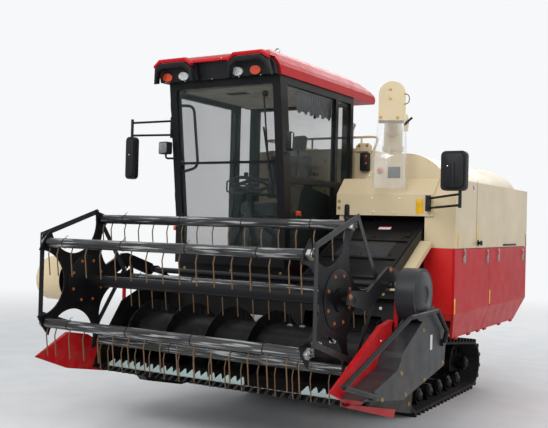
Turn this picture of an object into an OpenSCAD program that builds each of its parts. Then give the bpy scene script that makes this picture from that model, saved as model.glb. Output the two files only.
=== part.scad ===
// Tracked combine harvester, parked with its header raised.
// X runs to the machine's left, Y to its rear and Z up. The floor is Z 0,
// and the origin lies under the middle of the overall length and width.
// Header pieces are drawn with the knife flat over the floor, then raised by
// header_tilt about the feeder's upper shaft.

/* [Header lift] */
// Angle the header is raised by as it stands
header_tilt = 12.5; // [0:0.5:20]
// Feeder shaft, distance behind the origin
pivot_y = -20; // [-60:5:20]
// Feeder shaft height
pivot_z = 1300; // [1280:5:1320]

/* [Header] */
// Half width over the header's side plates
header_half = 1150; // [1100:5:1160]
// Thickness of the header's side plates
side_t = 8; // [5:1:12]
// Front face of the back wall
wall_y = -825; // [-830:1:-820]
// Thickness of the back wall
wall_t = 10; // [6:1:14]
// Height of the header's top beam
beam_z = 820; // [800:5:840]
// Depth and height of the top beam
beam_d = 100; // [80:5:110]
beam_h = 60; // [50:5:70]
// Height of the cutting plane over the floor
knife_z = 100; // [95:1:105]
// Front edge of the platform
lip_y = -1450; // [-1455:1:-1440]
// Pitch of knife sections and guard fingers
knife_pitch = 62; // [58:1:70]
// Length of a knife section
section_len = 60; // [55:1:62]
// Reach of the guard fingers ahead of the platform
guard_reach = 80; // [60:1:85]
// Height of the white serrated strips
strip_h = 48; // [40:1:50]

/* [Feed auger] */
// Auger axis behind the origin
auger_y = -1085; // [-1090:1:-1080]
// Auger axis height with the header down
auger_z = 410; // [400:1:420]
// Radius of the flights
flight_r = 245; // [235:1:248]
// Radius of the drum
drum_r = 150; // [130:1:160]
// Pitch of the flights
flight_pitch = 370; // [330:10:400]
// Gap between the flights and the trough
trough_gap = 13; // [8:1:16]

/* [Reel] */
// Reel axis with the header down
reel_y = -1879; // [-1890:1:-1870]
reel_z = 675; // [670:1:685]
// Radius of the circle the bats run on
reel_r = 471; // [450:1:475]
// Number of bats
bat_n = 5; // [5:1:5]
// Radius of a bat tube
bat_r = 33; // [25:1:36]
// Radius of the reel's centre tube
reel_tube_r = 40; // [30:1:50]
// How far a tine hangs below its bat's centre
tine_drop = 225; // [200:1:228]
// Radius of the tine wire
tine_r = 3; // [2:0.5:4]
// Tines on each bat
tine_n = 17; // [12:1:20]
// Thickness of the star plates
star_t = 10; // [6:1:12]
// Height of the crank links over the reel axis
crank = 55; // [40:1:60]

/* [Reel arms] */
// Arm pivot with the header down
arm_y = -1060; // [-1065:1:-1050]
arm_z = 900; // [895:1:910]
// Width of the arms
arm_w = 18; // [14:1:20]
// Radius of the arms' cross shaft
arm_shaft_r = 22; // [18:1:26]
// Reel cylinder pivot on the side plate
rc_y = -1250; // [-1260:5:-1240]
rc_z = 480; // [470:5:500]
// Reel cylinder eye on the arm
rc_eye_y = -1340; // [-1345:1:-1335]
rc_eye_z = 870; // [865:1:875]
// Radius of the reel cylinder barrels
rc_r = 15; // [12:1:15]

/* [Tracks] */
// Distance of the track's middle from the machine's middle
track_x = 585; // [560:5:600]
// Width of the rubber track
track_w = 450; // [400:10:460]
// Thickness of the belt under its lugs
belt_t = 20; // [16:1:24]
// Height of the lugs
lug_h = 30; // [24:1:36]
// Spacing of the lugs
lug_pitch = 90; // [80:1:100]
// Radius of the drive sprocket and the rear idler
big_r = 190; // [170:5:195]
// Radius of the road rollers
roller_r = 70; // [60:1:75]
// Drive sprocket centre
sprocket_y = -250; // [-260:5:-240]
sprocket_z = 410; // [400:5:420]
// Rear idler centre
idler_y = 1360; // [1300:10:1400]
// First road roller and their number
roller_y = -80; // [-100:5:-40]
roller_n = 6; // [5:1:7]

/* [Lift cylinder] */
// Cylinder pivot on the chassis
lc_y = -180; // [-190:5:-160]
lc_z = 300; // [290:5:310]
// Cylinder eye under the feeder with the header down
lc_eye_y = -700; // [-730:5:-680]
lc_eye_z = 330; // [320:5:345]
// Radius of the barrel
lc_r = 35; // [28:1:38]

/* [Feeder] */
// Right and left faces of the feeder house
feeder_x0 = 200; // [190:5:210]
feeder_x1 = 890; // [880:5:895]
// Radius of the feeder's upper end about its shaft
feeder_r = 315; // [300:1:320]
// Radius that the feeder's floor is tangent to
feeder_floor_r = 180; // [170:1:190]

/* [Body] */
// Left face of the thresher body
body_x1 = 1155; // [1130:5:1160]
// Right face of the thresher body
body_x0 = 150; // [140:5:160]
// Front and rear faces of the body
body_y0 = -235; // [-240:5:-230]
body_y1 = 1900; // [1850:10:1920]
// Underside, colour line and top of the body
body_z0 = 665; // [665:5:680]
body_split = 1380; // [1350:5:1400]
body_top = 1920; // [1900:5:1940]
// Depth of the drive bay behind the side doors
bay_d = 120; // [90:5:130]
// Thickness of door and cover sheets
sheet_t = 20; // [12:1:25]
// Height of the fold above which the doors stand upright
fold_z = 870; // [850:5:900]
// Where the front door ends and the rear door starts
door_split_y = 670; // [600:10:700]
// Gap round each door
door_gap = 6; // [4:1:10]
// Foot and top of the slope at the body's front
slope_z = 1790; // [1750:5:1820]
slope_y = -110; // [-130:5:-90]
// Highest point of the threshing drum cover
dome_top = 2140; // [2120:5:2160]
// Half width of the threshing drum cover
dome_half = 362; // [340:2:380]
// Middle of the threshing drum cover
dome_x = 676; // [660:2:690]
// Rear end of the straw hood
hood_y = 2548.7; // [2400:0.1:2600]

/* [Cab] */
// Right and left faces of the cab
cab_x0 = -1120; // [-1140:5:-1100]
cab_x1 = -30; // [-40:5:-20]
// Floor and top of the cab's side walls
cab_z0 = 1190; // [1185:5:1200]
cab_z1 = 2700; // [2680:5:2720]
// Front of the cab at its foot and at its top
cab_y0 = -820; // [-830:5:-810]
cab_y_top = -955; // [-970:5:-940]
// Back of the cab
cab_y1 = 350; // [330:5:370]
// Thickness of the cab's walls
cab_t = 45; // [35:5:55]
// Thickness of the glass
glass_t = 6; // [4:1:8]
// Height of the roof over the side walls
roof_h = 240; // [200:5:260]

/* [Grain tank and unloader] */
// Front, back and top of the grain tank
tank_y0 = 430; // [410:5:450]
tank_y1 = 1760; // [1700:10:1800]
tank_z1 = 2240; // [2200:5:2280]
// Right and left faces of the grain tank
tank_x0 = -1150; // [-1160:5:-1130]
tank_x1 = 130; // [110:5:135]
// Centre of the unloader's riser
riser_x = -292; // [-300:1:-280]
riser_y = 1880; // [1875:1:1900]
// Radius of the unloading tube
tube_r = 92; // [85:1:95]
// Height of the unloading tube's axis
tube_z = 2598; // [2590:1:2620]
// Middle of the spout's front plate
spout_x = 630; // [600:5:650]
spout_y = -300; // [-320:5:-290]
// Half width and depth of the spout
spout_half = 108; // [104:1:112]
spout_d = 200; // [180:5:210]

/* [Clearances] */
// Gap between pieces that slide or turn on each other
fit = 0.3; // [0.2:0.05:0.5]
// Radial clearance of shafts and pins in their bearings
run_gap = 0.05; // [0.02:0.01:0.1]

/* [Hidden] */
$fn = 48;
big = 4000;

// Places across the machine that keep together when a width changes
arm_gap = 2;
arm_x = header_half - side_t - arm_w - arm_gap;
star_x = arm_x - 100;
bat_half = star_x - 10;
rc_x = header_half + 18;
guard_half = header_half - 40;
drive_x0 = header_half + 36;
drive_x1 = drive_x0 + 144;
lc_x = track_x - 295;
rail_x = track_x - 285;

RED = [0.70, 0.05, 0.05];
CREAM = [0.87, 0.80, 0.66];
BLACK = [0.08, 0.08, 0.09];
GREY = [0.25, 0.26, 0.28];
STEEL = [0.60, 0.60, 0.62];
RUBBER = [0.10, 0.10, 0.10];
GLASS = [0.55, 0.68, 0.70, 0.35];
COPPER = [0.60, 0.36, 0.22];

// A point of the header's own side view, raised by the header's tilt
function raised(p) = let (dy = p[0] - pivot_y, dz = p[1] - pivot_z)
    [pivot_y + dy * cos(header_tilt) + dz * sin(header_tilt),
     pivot_z - dy * sin(header_tilt) + dz * cos(header_tilt)];

// Points of an arc round c from angle a0 to a1 in n steps
function arc(c, r, a0, a1, n) =
    [for (i = [0 : n]) let (a = a0 + (a1 - a0) * i / n) c + r * [cos(a), sin(a)]];

// Where the line from p touches a circle; side is 1 or -1
function touch(c, r, p, side) = let (d = p - c, a = atan2(d[1], d[0]) + side * acos(r / norm(d)))
    c + r * [cos(a), sin(a)];

// Outline [[y, z], ...] pushed from x0 to x1
module side(x0, x1, pts) {
    translate([x0, 0, 0]) rotate([90, 0, 90]) linear_extrude(x1 - x0) polygon(pts);
}

// Outline [[x, z], ...] pushed from y0 to y1
module front(y0, y1, pts) {
    translate([0, y1, 0]) rotate([90, 0, 0]) linear_extrude(y1 - y0) polygon(pts);
}

// Outline [[x, y], ...] pushed from z0 to z1
module plan(z0, z1, pts) {
    translate([0, 0, z0]) linear_extrude(z1 - z0) polygon(pts);
}

module block(x0, x1, y0, y1, z0, z1) {
    translate([x0, y0, z0]) cube([x1 - x0, y1 - y0, z1 - z0]);
}

// Round bar along X
module xbar(x0, x1, y, z, r) {
    translate([x0, y, z]) rotate([0, 90, 0]) cylinder(r = r, h = x1 - x0);
}

// Round bar between two points
module bar(a, b, r) {
    d = b - a;
    translate(a) rotate([0, acos(d[2] / norm(d)), atan2(d[1], d[0])]) cylinder(r = r, h = norm(d));
}

// Outline of a rectangle with corners rounded to r
function rounded(x0, x1, y0, y1, r) = concat(
    arc([x1 - r, y1 - r], r, 0, 90, 5), arc([x0 + r, y1 - r], r, 90, 180, 5),
    arc([x0 + r, y0 + r], r, 180, 270, 5), arc([x1 - r, y0 + r], r, 270, 360, 5));

// Round tube bent through points, with a slightly fuller joint at each bend
module bent(pts, r) {
    for (i = [0 : len(pts) - 2]) bar(pts[i], pts[i + 1], r);
    for (i = [1 : len(pts) - 2]) translate(pts[i]) sphere(r = 1.1 * r);
}

// Both sides of the machine
module pair() {
    children();
    mirror([1, 0, 0]) children();
}

// Draws header pieces at the header's raised place
module on_header() {
    translate([0, pivot_y, pivot_z]) rotate([-header_tilt, 0, 0])
        translate([0, -pivot_y, -pivot_z]) children();
}

// The wheels that carry a track, [y, z, radius], the way round that keeps them on the left
idler_z = big_r + belt_t + lug_h;
roller_z = roller_r + belt_t + lug_h;
loop_wheels = [[roller_y, roller_z, roller_r], [idler_y, idler_z, big_r], [sprocket_y, sprocket_z, big_r]];
loop_n = len(loop_wheels);
function wheel(i) = loop_wheels[i % loop_n];
function gap_of(i) = [wheel(i + 1)[0] - wheel(i)[0], wheel(i + 1)[1] - wheel(i)[1]];
function less_of(i) = wheel(i)[2] - wheel(i + 1)[2];
function normal_of(i) = atan2(gap_of(i)[1], gap_of(i)[0]) - acos(less_of(i) / norm(gap_of(i)));
function run_of(i) = sqrt(pow(norm(gap_of(i)), 2) - pow(less_of(i), 2));
function turn_of(i) = let (d = normal_of(i + 1) - normal_of(i)) d < 0 ? d + 360 : d;
function wrap_of(i) = wheel(i + 1)[2] * turn_of(i) * PI / 180;
loop_len = run_of(0) + wrap_of(0) + run_of(1) + wrap_of(1) + run_of(2) + wrap_of(2);
lug_n = round(loop_len / lug_pitch);
lug_step = loop_len / lug_n;

// Point at distance s along the belt's inside, moved out by h
function belt_at(s, h, i = 0) =
    s < run_of(i) ? let (a = normal_of(i), w = wheel(i))
        [w[0] + (w[2] + h) * cos(a) - s * sin(a), w[1] + (w[2] + h) * sin(a) + s * cos(a)]
    : s < run_of(i) + wrap_of(i) ?
        let (w = wheel(i + 1), a = normal_of(i) + (s - run_of(i)) / w[2] * 180 / PI)
        [w[0] + (w[2] + h) * cos(a), w[1] + (w[2] + h) * sin(a)]
    : belt_at(s - run_of(i) - wrap_of(i), h, (i + 1) % loop_n);

// One half of the track's width. A pitch is counted in fiftieths, shift moves the lugs by
// that many of them, and both halves share every corner of the belt under the lugs
module track_half(x0, x1, shift) {
    lug_top = belt_t + lug_h;
    lug = [[10, belt_t], [15, belt_t], [19, lug_top], [31, lug_top], [35, belt_t], [40, belt_t]];
    outer = [for (i = [0 : lug_n - 1], p = lug)
        belt_at(((50 * i + shift + p[0]) % (50 * lug_n)) * lug_step / 50, p[1])];
    inner = [for (i = [0 : 4 * lug_n - 1]) belt_at((i + 0.5) * lug_step / 4, 0)];
    translate([x0, 0, 0]) rotate([90, 0, 90]) linear_extrude(x1 - x0) difference() {
        polygon(outer);
        polygon(inner);
    }
}

module track() {
    color(RUBBER) {
        track_half(track_x - track_w / 2, track_x, 0);
        track_half(track_x, track_x + track_w / 2, 25);
    }
}

module track_left() {
    track();
}

module track_right() {
    mirror([1, 0, 0]) track();
}

// Wheels inside both tracks, with the sprockets' drive ends
wheel_gap = 1.2;
roller_half = 150;
disc_half = 60;
hub_r = 62;
hole_ring_r = 120;
hole_r = 32;
module rollers() {
    step = (idler_y - roller_y) / roller_n;
    x0 = track_x - roller_half;
    x1 = track_x + roller_half;
    color(STEEL) pair() {
        for (i = [0 : roller_n - 1]) xbar(x0, x1, roller_y + i * step, roller_z, roller_r - wheel_gap);
        for (w = [[idler_y, idler_z], [sprocket_y, sprocket_z]]) difference() {
            union() {
                xbar(track_x - disc_half, track_x + disc_half, w[0], w[1], big_r - wheel_gap);
                xbar(x0, x1, w[0], w[1], hub_r);
            }
            for (a = [0 : 60 : 300]) xbar(track_x - disc_half - 1, track_x + disc_half + 1,
                w[0] + hole_ring_r * cos(a), w[1] + hole_ring_r * sin(a), hole_r);
        }
    }
}

// Track beams, cross members and the rails that carry body, engine and cab
frame_z = 600;
rail_top = body_z0 - fit;
deck_z0 = 712;
deck_z = 760;
post_y = [200, 700, 1250];
deck_y = [-760, -400, 100, 280, 450, 740, 1030, 1680, 1900];
tow_y = 1660;
tow_z = 210;
module chassis_frame() {
    beam_x0 = track_x - roller_half - fit;
    beam_in = track_x - track_w / 2 - 15;
    color(BLACK) {
        pair() {
            // Beam along the inside of the rollers, with arms that carry their axles
            block(beam_in - 60, beam_in, roller_y - 60, idler_y + 60, 110, 260);
            for (i = [0 : roller_n])
                xbar(beam_in - 10, beam_x0, roller_y + i * (idler_y - roller_y) / roller_n,
                     i < roller_n ? roller_z : idler_z, 28);
            for (y = post_y) block(rail_x - 55, rail_x - 5, y - 40, y + 40, 200, frame_z + 10);
        }
        for (y = post_y) block(-rail_x - 10, rail_x + 10, y - 45, y + 45, 170, 250);
        // Rails under the thresher and under the deck
        block(rail_x - 60, rail_x, -350, body_y1 - 40, frame_z, rail_top);
        block(-rail_x, -rail_x + 60, -535, 1960, frame_z, rail_top);
        block(-rail_x, rail_x, sprocket_y - 50, sprocket_y + 50, sprocket_z + 120 + fit, rail_top);
        for (y = [330, 1100, body_y1 - 100])
            block(-rail_x, body_x1 - bay_d - 40, y, y + 60, rail_top - 25, rail_top);
        // Deck on the machine's right, on posts from its rail
        for (y = [-535, -60, 480, 1200, 1900]) block(-rail_x, -rail_x + 60, y, y + 60, frame_z + 10, deck_z);
        for (x = [-1100, 60]) block(x, x + 60, deck_y[0], 1960, deck_z0, deck_z);
        for (y = deck_y) block(-1100, 120, y, y + 60, deck_z0, deck_z);
        // Front cross member with the lift cylinder's ears
        block(-rail_x, rail_x + 40, lc_y + 60, lc_y + 130, 210, 300);
        for (x = [lc_x - 48, lc_x + 36]) difference() {
            side(x, x + 12, [[lc_y + 130, 210], [lc_y - 20, 262], [lc_y - 38, 300],
                             [lc_y - 20, 338], [lc_y + 130, 330]]);
            xbar(x - 1, x + 13, lc_y, lc_z, 15);
        }
        // Rear cross member with the towing eye
        block(-rail_x, rail_x, idler_y - 20, idler_y + 50, 170, 250);
        difference() {
            side(-20, 20, concat([[idler_y + 40, tow_z - 40], [tow_y, tow_z - 40]],
                 arc([tow_y, tow_z], 40, -90, 90, 10), [[idler_y + 40, tow_z + 40]]));
            xbar(-21, 21, tow_y, tow_z, 16);
        }
    }
}

// Gearbox between the tracks and the axle tubes to the sprockets
module drive_axle() {
    color(GREY) {
        xbar(-190, 190, sprocket_y, sprocket_z, 120);
        pair() xbar(180, track_x - roller_half - fit, sprocket_y, sprocket_z, 32);
    }
}

// Threshing housing: core, drive bay frame and the inlet for the feeder
inlet_gap = 12;
shaft_r = 30;
shaft_x0 = 160;
shaft_x1 = 960;
cut_front = 145;
cut_rear = 210;
module body_outline(x0, x1) {
    side(x0, x1, [[body_y0, fold_z], [body_y0 + cut_front, body_z0], [body_y1 - cut_rear, body_z0],
                  [body_y1, fold_z], [body_y1, body_top], [slope_y, body_top], [body_y0, slope_z]]);
}
module thresher_body() {
    bay_x = body_x1 - bay_d;
    lean_x = body_x1 - sheet_t - lean_gap;
    color(CREAM) difference() {
        body_outline(body_x0, body_x1);
        // Drive bay behind the doors, open to the left and below
        side(bay_x, body_x1 + 1, [[body_y0 + 40, body_z0 - 1], [body_y1 - 40, body_z0 - 1],
                                  [body_y1 - 40, body_split - 30], [body_y0 + 40, body_split - 30]]);
        side(body_x1 - sheet_t - fit, body_x1 + 1, [[body_y0 - 1, body_z0 - 1], [body_y1 + 1, body_z0 - 1],
                                  [body_y1 + 1, body_split], [body_y0 - 1, body_split]]);
        // Ends of the bay follow the doors' lean below the fold
        front(-big, big, [[lean_x, fold_z + 2], [body_x1 + 1, fold_z + 2],
                          [body_x1 + 1, body_z0 - 1], [lean_x - door_lean, body_z0 - 1]]);
        // Inlet round the feeder's upper end, open below for its lowered floor
        xbar(feeder_x0 - inlet_gap, feeder_x1 + inlet_gap, pivot_y, pivot_z, feeder_r + inlet_gap);
        block(feeder_x0 - inlet_gap, feeder_x1 + inlet_gap, body_y0 - 1, pivot_y,
              pivot_z - feeder_r - inlet_gap, pivot_z + feeder_r + inlet_gap);
        block(feeder_x0 - inlet_gap, feeder_x1 + inlet_gap, body_y0 - 1, body_y0 + cut_front,
              body_z0 - 1, pivot_z);
        xbar(shaft_x0 - 1, shaft_x1 + 1, pivot_y, pivot_z, shaft_r + run_gap);
    }
}

// Half-round cover over the threshing drum
dome_R = (dome_half * dome_half + pow(dome_top - body_top, 2)) / (2 * (dome_top - body_top));
module thresher_cover() {
    color(CREAM) intersection() {
        translate([dome_x, slope_y, dome_top - dome_R]) rotate([-90, 0, 0])
            cylinder(r = dome_R, h = body_y1 - slope_y, $fn = 96);
        block(dome_x - dome_half, dome_x + dome_half, slope_y, body_y1, body_top, dome_top + 1);
    }
}

// Folded sheet over the body's front, from above the feeder to the top of the slope
cover_x1 = 975;
module front_cover() {
    t = sheet_t;
    foot = pivot_z + feeder_r + inlet_gap;
    color(CREAM) side(body_x0 - 20, cover_x1, [[body_y0 - t, foot], [body_y0, foot], [body_y0, slope_z],
        [slope_y, body_top], [slope_y - 0.7 * t, body_top + 0.7 * t], [body_y0 - t, slope_z + 0.4 * t]]);
}

// Pulleys in the drive bay, [y, height below the colour line, radius]
drives = [[60, 400, 150], [430, 200, 110], [820, 450, 130], [1150, 190, 160], [1560, 380, 120]];
module side_drives() {
    bay_x = body_x1 - bay_d;
    color(STEEL) for (d = drives) {
        z = body_split - d[1];
        xbar(bay_x, bay_x + 60, d[0], z, 25);
        difference() {
            xbar(bay_x + 15, bay_x + 55, d[0], z, d[2]);
            xbar(bay_x + 40, bay_x + 56, d[0], z, d[2] - 18);
        }
    }
}

// A side door between y0 and y1, upright above the fold and leaning in below it,
// with the knuckles of its hinge along its foot
door_lean = 60;
lean_gap = 1.2;
knuckle_r = 10;
module side_door(y0, y1, cut0, cut1) {
    ya = y0 + door_gap / 2;
    yb = y1 - door_gap / 2;
    zt = body_split - door_gap;
    x1 = body_x1;
    color(RED) intersection() {
        translate([0, yb, 0]) rotate([90, 0, 0]) linear_extrude(yb - ya)
            polygon([[x1 - sheet_t, zt], [x1, zt], [x1, fold_z], [x1 - door_lean, body_z0],
                     [x1 - door_lean - sheet_t, body_z0 + 2], [x1 - sheet_t, fold_z + 2]]);
        side(x1 - 200, x1 + 1, [[ya, fold_z], [ya + cut0, body_z0], [yb - cut1, body_z0],
                                [yb, fold_z], [yb, zt], [ya, zt]]);
    }
    color(BLACK) for (y = [ya + cut0 + 60, (ya + cut0 + yb - cut1) / 2, yb - cut1 - 120])
        translate([x1 - door_lean, y, body_z0 - knuckle_r / 2]) rotate([-90, 0, 0])
            cylinder(r = knuckle_r, h = 60);
}
module side_door_front() {
    side_door(body_y0, door_split_y, cut_front, 0);
}
module side_door_rear() {
    side_door(door_split_y, body_y1, 0, cut_rear);
}

// Straw hood behind the body, open below
hood_x0 = 190;
hood_x1 = 975;
hood_z1 = 1840;
hood_z0 = 980;
module straw_hood() {
    t = 10;
    outer = [[body_y1, hood_z1], [body_y1 + 330, hood_z1 - 90], [hood_y, 1350], [hood_y, hood_z0 + 40],
             [hood_y - 60, hood_z0], [body_y1, hood_z0]];
    inner = [[body_y1 - 1, hood_z1 - t], [body_y1 + 324, hood_z1 - 90 - t], [hood_y - t, 1345],
             [hood_y - t, hood_z0 - 1], [body_y1 - 1, hood_z0 - 1]];
    color(CREAM) difference() {
        side(hood_x0, hood_x1, outer);
        side(hood_x0 + t, hood_x1 - t, inner);
    }
}

tank_z0 = 1150;
tank_fold = 1400;
module grain_tank() {
    color(CREAM) {
        front(tank_y0, tank_y1, [[tank_x0, tank_fold], [tank_x0 + 260, tank_z0], [tank_x1 - 160, tank_z0],
            [tank_x1, tank_fold], [tank_x1, tank_z1 - 60], [tank_x1 - 80, tank_z1],
            [tank_x0 + 80, tank_z1], [tank_x0, tank_z1 - 60]]);
        // Legs down to the frame
        for (x = [tank_x0 + 300, tank_x1 - 240], y = [tank_y0 + 20, tank_y1 - 80])
            block(x, x + 60, y, y + 60, deck_z, tank_z0 + 100);
    }
}

module fuel_tank() {
    color(BLACK) translate([tank_x0 + 60, 0, 0]) side(0, 830, rounded(720, 1090, deck_z, 1130, 45));
}

module engine_block() {
    color(GREY) block(-900, -300, -420, 180, deck_z, 1100);
}

// Cover round the engine under the cab, open below, with a grille in its right side
cover_x0 = -1120;
module engine_cover() {
    t = 20;
    color(BLACK) difference() {
        block(cover_x0, -40, cab_y0 + 60, cab_y1 - 10, deck_z, cab_z0 - fit);
        block(cover_x0 + t, -40 - t, cab_y0 + 60 + t, cab_y1 - 10 - t, frame_z, cab_z0 - t);
        for (z = [820 : 45 : 1100]) block(cover_x0 - 1, cover_x0 + t + 1, -520, 120, z, z + 22);
    }
}

// Riser of the unloading auger on its gear housing behind the tank
riser_r = tube_r + 10;
elbow_z = tube_z - 150;
module unload_riser() {
    color(CREAM) {
        translate([riser_x, riser_y, 900]) cylinder(r = riser_r, h = elbow_z - 900 - fit);
        block(riser_x - 120, riser_x + 120, tank_y1, riser_y + 90, deck_z, 960);
        for (z = [1500, 2120])
            block(riser_x - 45, riser_x + 45, tank_y1, riser_y - riser_r + 25, z, z + 60);
        translate([riser_x, riser_y, elbow_z - 90]) cylinder(r = riser_r + 14, h = 50);
    }
}

// Places pieces along the unloading tube: -Y from the riser towards the spout
spout_len = norm([spout_x - riser_x, spout_y - riser_y]);
spout_z = 2391;
module along_tube() {
    translate([riser_x, riser_y, 0]) rotate([0, 0, atan2(spout_x - riser_x, riser_y - spout_y)]) children();
}

// Elbow, tube and arched spout of the unloading auger
module unload_tube() {
    h = spout_half;
    color(CREAM) {
        translate([riser_x, riser_y, elbow_z]) cylinder(r = riser_r, h = 150);
        translate([riser_x, riser_y, tube_z]) sphere(r = riser_r);
        along_tube() {
            translate([0, 0, tube_z]) rotate([90, 0, 0]) cylinder(r = tube_r, h = spout_len - 40);
            difference() {
                front(-spout_len, -spout_len + spout_d,
                      concat([[-h, spout_z], [h, spout_z]], arc([0, tube_z], h, 0, 180, 16)));
                block(-h + 8, h - 8, -spout_len + 8, -spout_len + spout_d - 8,
                      spout_z - 1, tube_z - tube_r);
            }
        }
    }
}

// Clear plastic curtain that hangs round the spout
film_z = 2165;
module chute_film() {
    h = spout_half + 10;
    y0 = -spout_len - 10;
    color(GLASS) along_tube() difference() {
        block(-h, h, y0, y0 + spout_d + 20, film_z, spout_z + 20);
        block(-h + 9.7, h - 9.7, y0 + 9.7, y0 + spout_d + 10.3, film_z - 1, spout_z + 21);
    }
}

// Side view of the cab, shrunk by t
waist_z = 1560;
function cab_side(t) = [[cab_y0 + t, cab_z0 + t], [cab_y0 + t, waist_z], [cab_y_top + t, cab_z1 - t],
                        [cab_y1 - t, cab_z1 - t], [cab_y1 - t, cab_z0 + t]];

// Windows and the doorway in side view, each shrunk by g
mid_post_y = 30;
sill_z = 1890;
bar_z = 2030;
bar_half = 9;
post_half = 25;
head_z = cab_z1 - 60;
rear_win_z = 1690;
screen_in = 70;
door_y0 = cab_y0 + 75;
door_y_top = cab_y_top + 75;
door_foot = cab_z0 + 60;
door_back = mid_post_y - 10;
post_y0 = mid_post_y - post_half;
post_y1 = mid_post_y + post_half;
pane_foot = sill_z + post_half;
rear_y = cab_y1 - 50;
function win_front(g) = [[door_y0 + g, pane_foot + g], [cab_y_top + 110 + g, head_z - g],
                         [post_y0 - g, head_z - g], [post_y0 - g, pane_foot + g]];
function win_rear(g) = [[post_y1 + g, pane_foot + g], [post_y1 + g, head_z - g],
                        [rear_y - g, head_z - g], [rear_y - g, pane_foot + g]];
function win_low(g) = [[door_y0 + g, cab_z0 + screen_in + g], [door_y0 + g, sill_z - post_half - g],
                       [post_y0 - g, sill_z - post_half - g], [post_y0 - g, cab_z0 + screen_in + g]];
function win_right(g) = [[mid_post_y + 40 + g, sill_z + g], [mid_post_y + 40 + g, head_z - g],
                         [rear_y - g, head_z - g], [rear_y - g, sill_z + g]];
function doorway(g) = [[door_y0 + g, door_foot + g], [door_y0 + g, waist_z], [door_y_top + 8 + g, head_z - g],
                       [door_back - g, head_z - g], [door_back - g, door_foot + g]];
// Heights of the windscreen's two panes
screens = [[bar_z + bar_half, head_z], [cab_z0 + screen_in, bar_z - bar_half]];

module cab_frame() {
    color(BLACK) difference() {
        side(cab_x0, cab_x1, cab_side(0));
        side(cab_x0 + cab_t, cab_x1 - cab_t, cab_side(cab_t));
        for (z = screens) front(cab_y_top - 50, cab_y0 + 60,
            rounded(cab_x0 + screen_in, cab_x1 - screen_in, z[0], z[1], screen_r));
        for (w = [win_front(0), win_rear(0), win_low(0)]) side(cab_x1 - cab_t - 1, cab_x1 + 1, w);
        for (w = [doorway(0), win_right(0)]) side(cab_x0 - 1, cab_x0 + cab_t + 1, w);
        block(cab_x0 + 90, cab_x1 - 90, cab_y1 - cab_t - 1, cab_y1 + 1, rear_win_z, head_z - 20);
    }
    color(BLACK) door_pins();
}

// Panes in the middle of the cab's walls
screen_r = 30;
module cab_glass() {
    g = fit;
    lx = cab_x1 - cab_t / 2;
    rx = cab_x0 + cab_t / 2;
    by = cab_y1 - cab_t / 2;
    sy = 14;
    color(GLASS) {
        for (w = [win_front(g), win_rear(g), win_low(g)]) side(lx, lx + glass_t, w);
        side(rx, rx + glass_t, win_right(g));
        block(cab_x0 + 90 + g, cab_x1 - 90 - g, by, by + glass_t, rear_win_z + g, head_z - 20 - g);
        // Windscreen panes follow the front's lean
        for (z = screens) intersection() {
            side(cab_x0, cab_x1, [[cab_y0 + sy, cab_z0], [cab_y0 + sy, waist_z], [cab_y_top + sy, cab_z1],
                 [cab_y_top + sy + glass_t, cab_z1], [cab_y0 + sy + glass_t, waist_z],
                 [cab_y0 + sy + glass_t, cab_z0]]);
            front(-big, big, rounded(cab_x0 + screen_in + g, cab_x1 - screen_in - g,
                                     z[0] + g, z[1] - g, screen_r));
        }
    }
}

// Right-hand door, hinged on the front pillar, with its pane in the same node
hinge_pin_r = 7;
module cab_door() {
    rim = 45;
    color(BLACK) difference() {
        side(cab_x0 - 5, cab_x0 + 30, doorway(4));
        side(cab_x0 - 6, cab_x0 + 31, doorway(rim));
    }
    color(GLASS) side(cab_x0 + 10, cab_x0 + 10 + glass_t, doorway(rim));
    color(BLACK) for (z = hinge_z) at_door_hinge(z) difference() {
        union() {
            cylinder(r = 13, h = 60);
            translate([-4, 0, 0]) cube([14, 90, 60]);
        }
        translate([0, 0, -1]) cylinder(r = hinge_pin_r + run_gap, h = 62);
    }
}

// Hinges of the cab door, on a line that leans with the front pillar
hinge_z = [1720, 2480];
hinge_out = 14;
door_lean_a = atan2(cab_y0 - cab_y_top, cab_z1 - waist_z);
module at_door_hinge(z) {
    translate([cab_x0 - hinge_out, door_y0 - 40 - (z - waist_z) * tan(door_lean_a), z])
        rotate([door_lean_a, 0, 0]) children();
}
module door_pins() {
    for (z = hinge_z) at_door_hinge(z) {
        translate([0, 0, -12]) cylinder(r = hinge_pin_r, h = 84);
        for (h = [-12, 61]) translate([-8, -9, h]) cube([24, 18, 11]);
    }
}

// Roof shell, arched from side to side and from front to back
roof_x0 = cab_x0 - 50;
roof_x1 = cab_x1 + 15;
roof_y0 = cab_y_top - 115;
roof_y1 = 790;
fascia_h = 130;
module cab_roof() {
    z = cab_z1;
    zt = cab_z1 + roof_h;
    x0 = roof_x0;
    x1 = roof_x1;
    crown = [[0, 0], [0, 70], [14, 105], [60, 165], [120, 205], [240, roof_h]];
    color(RED) intersection() {
        side(x0, x1, [[roof_y0, z + fascia_h], [roof_y0 + 12, z + fascia_h + 22],
             [roof_y0 + 60, z + fascia_h + 52], [roof_y0 + 180, zt - 22], [roof_y0 + 420, zt],
             [roof_y1 - 720, zt], [roof_y1 - 420, zt - 38], [roof_y1 - 160, zt - 105],
             [roof_y1 - 30, z + 85], [roof_y1, z + 40], [roof_y1 - 20, z + fit],
             [cab_y_top, z + fit], [cab_y_top - 60, z + fascia_h]]);
        front(-big, big, concat([for (c = crown) [x0 + c[0], z + c[1]]],
                                [for (i = [len(crown) - 1 : -1 : 0]) [x1 - crown[i][0], z + crown[i][1]]]));
    }
}

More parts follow.
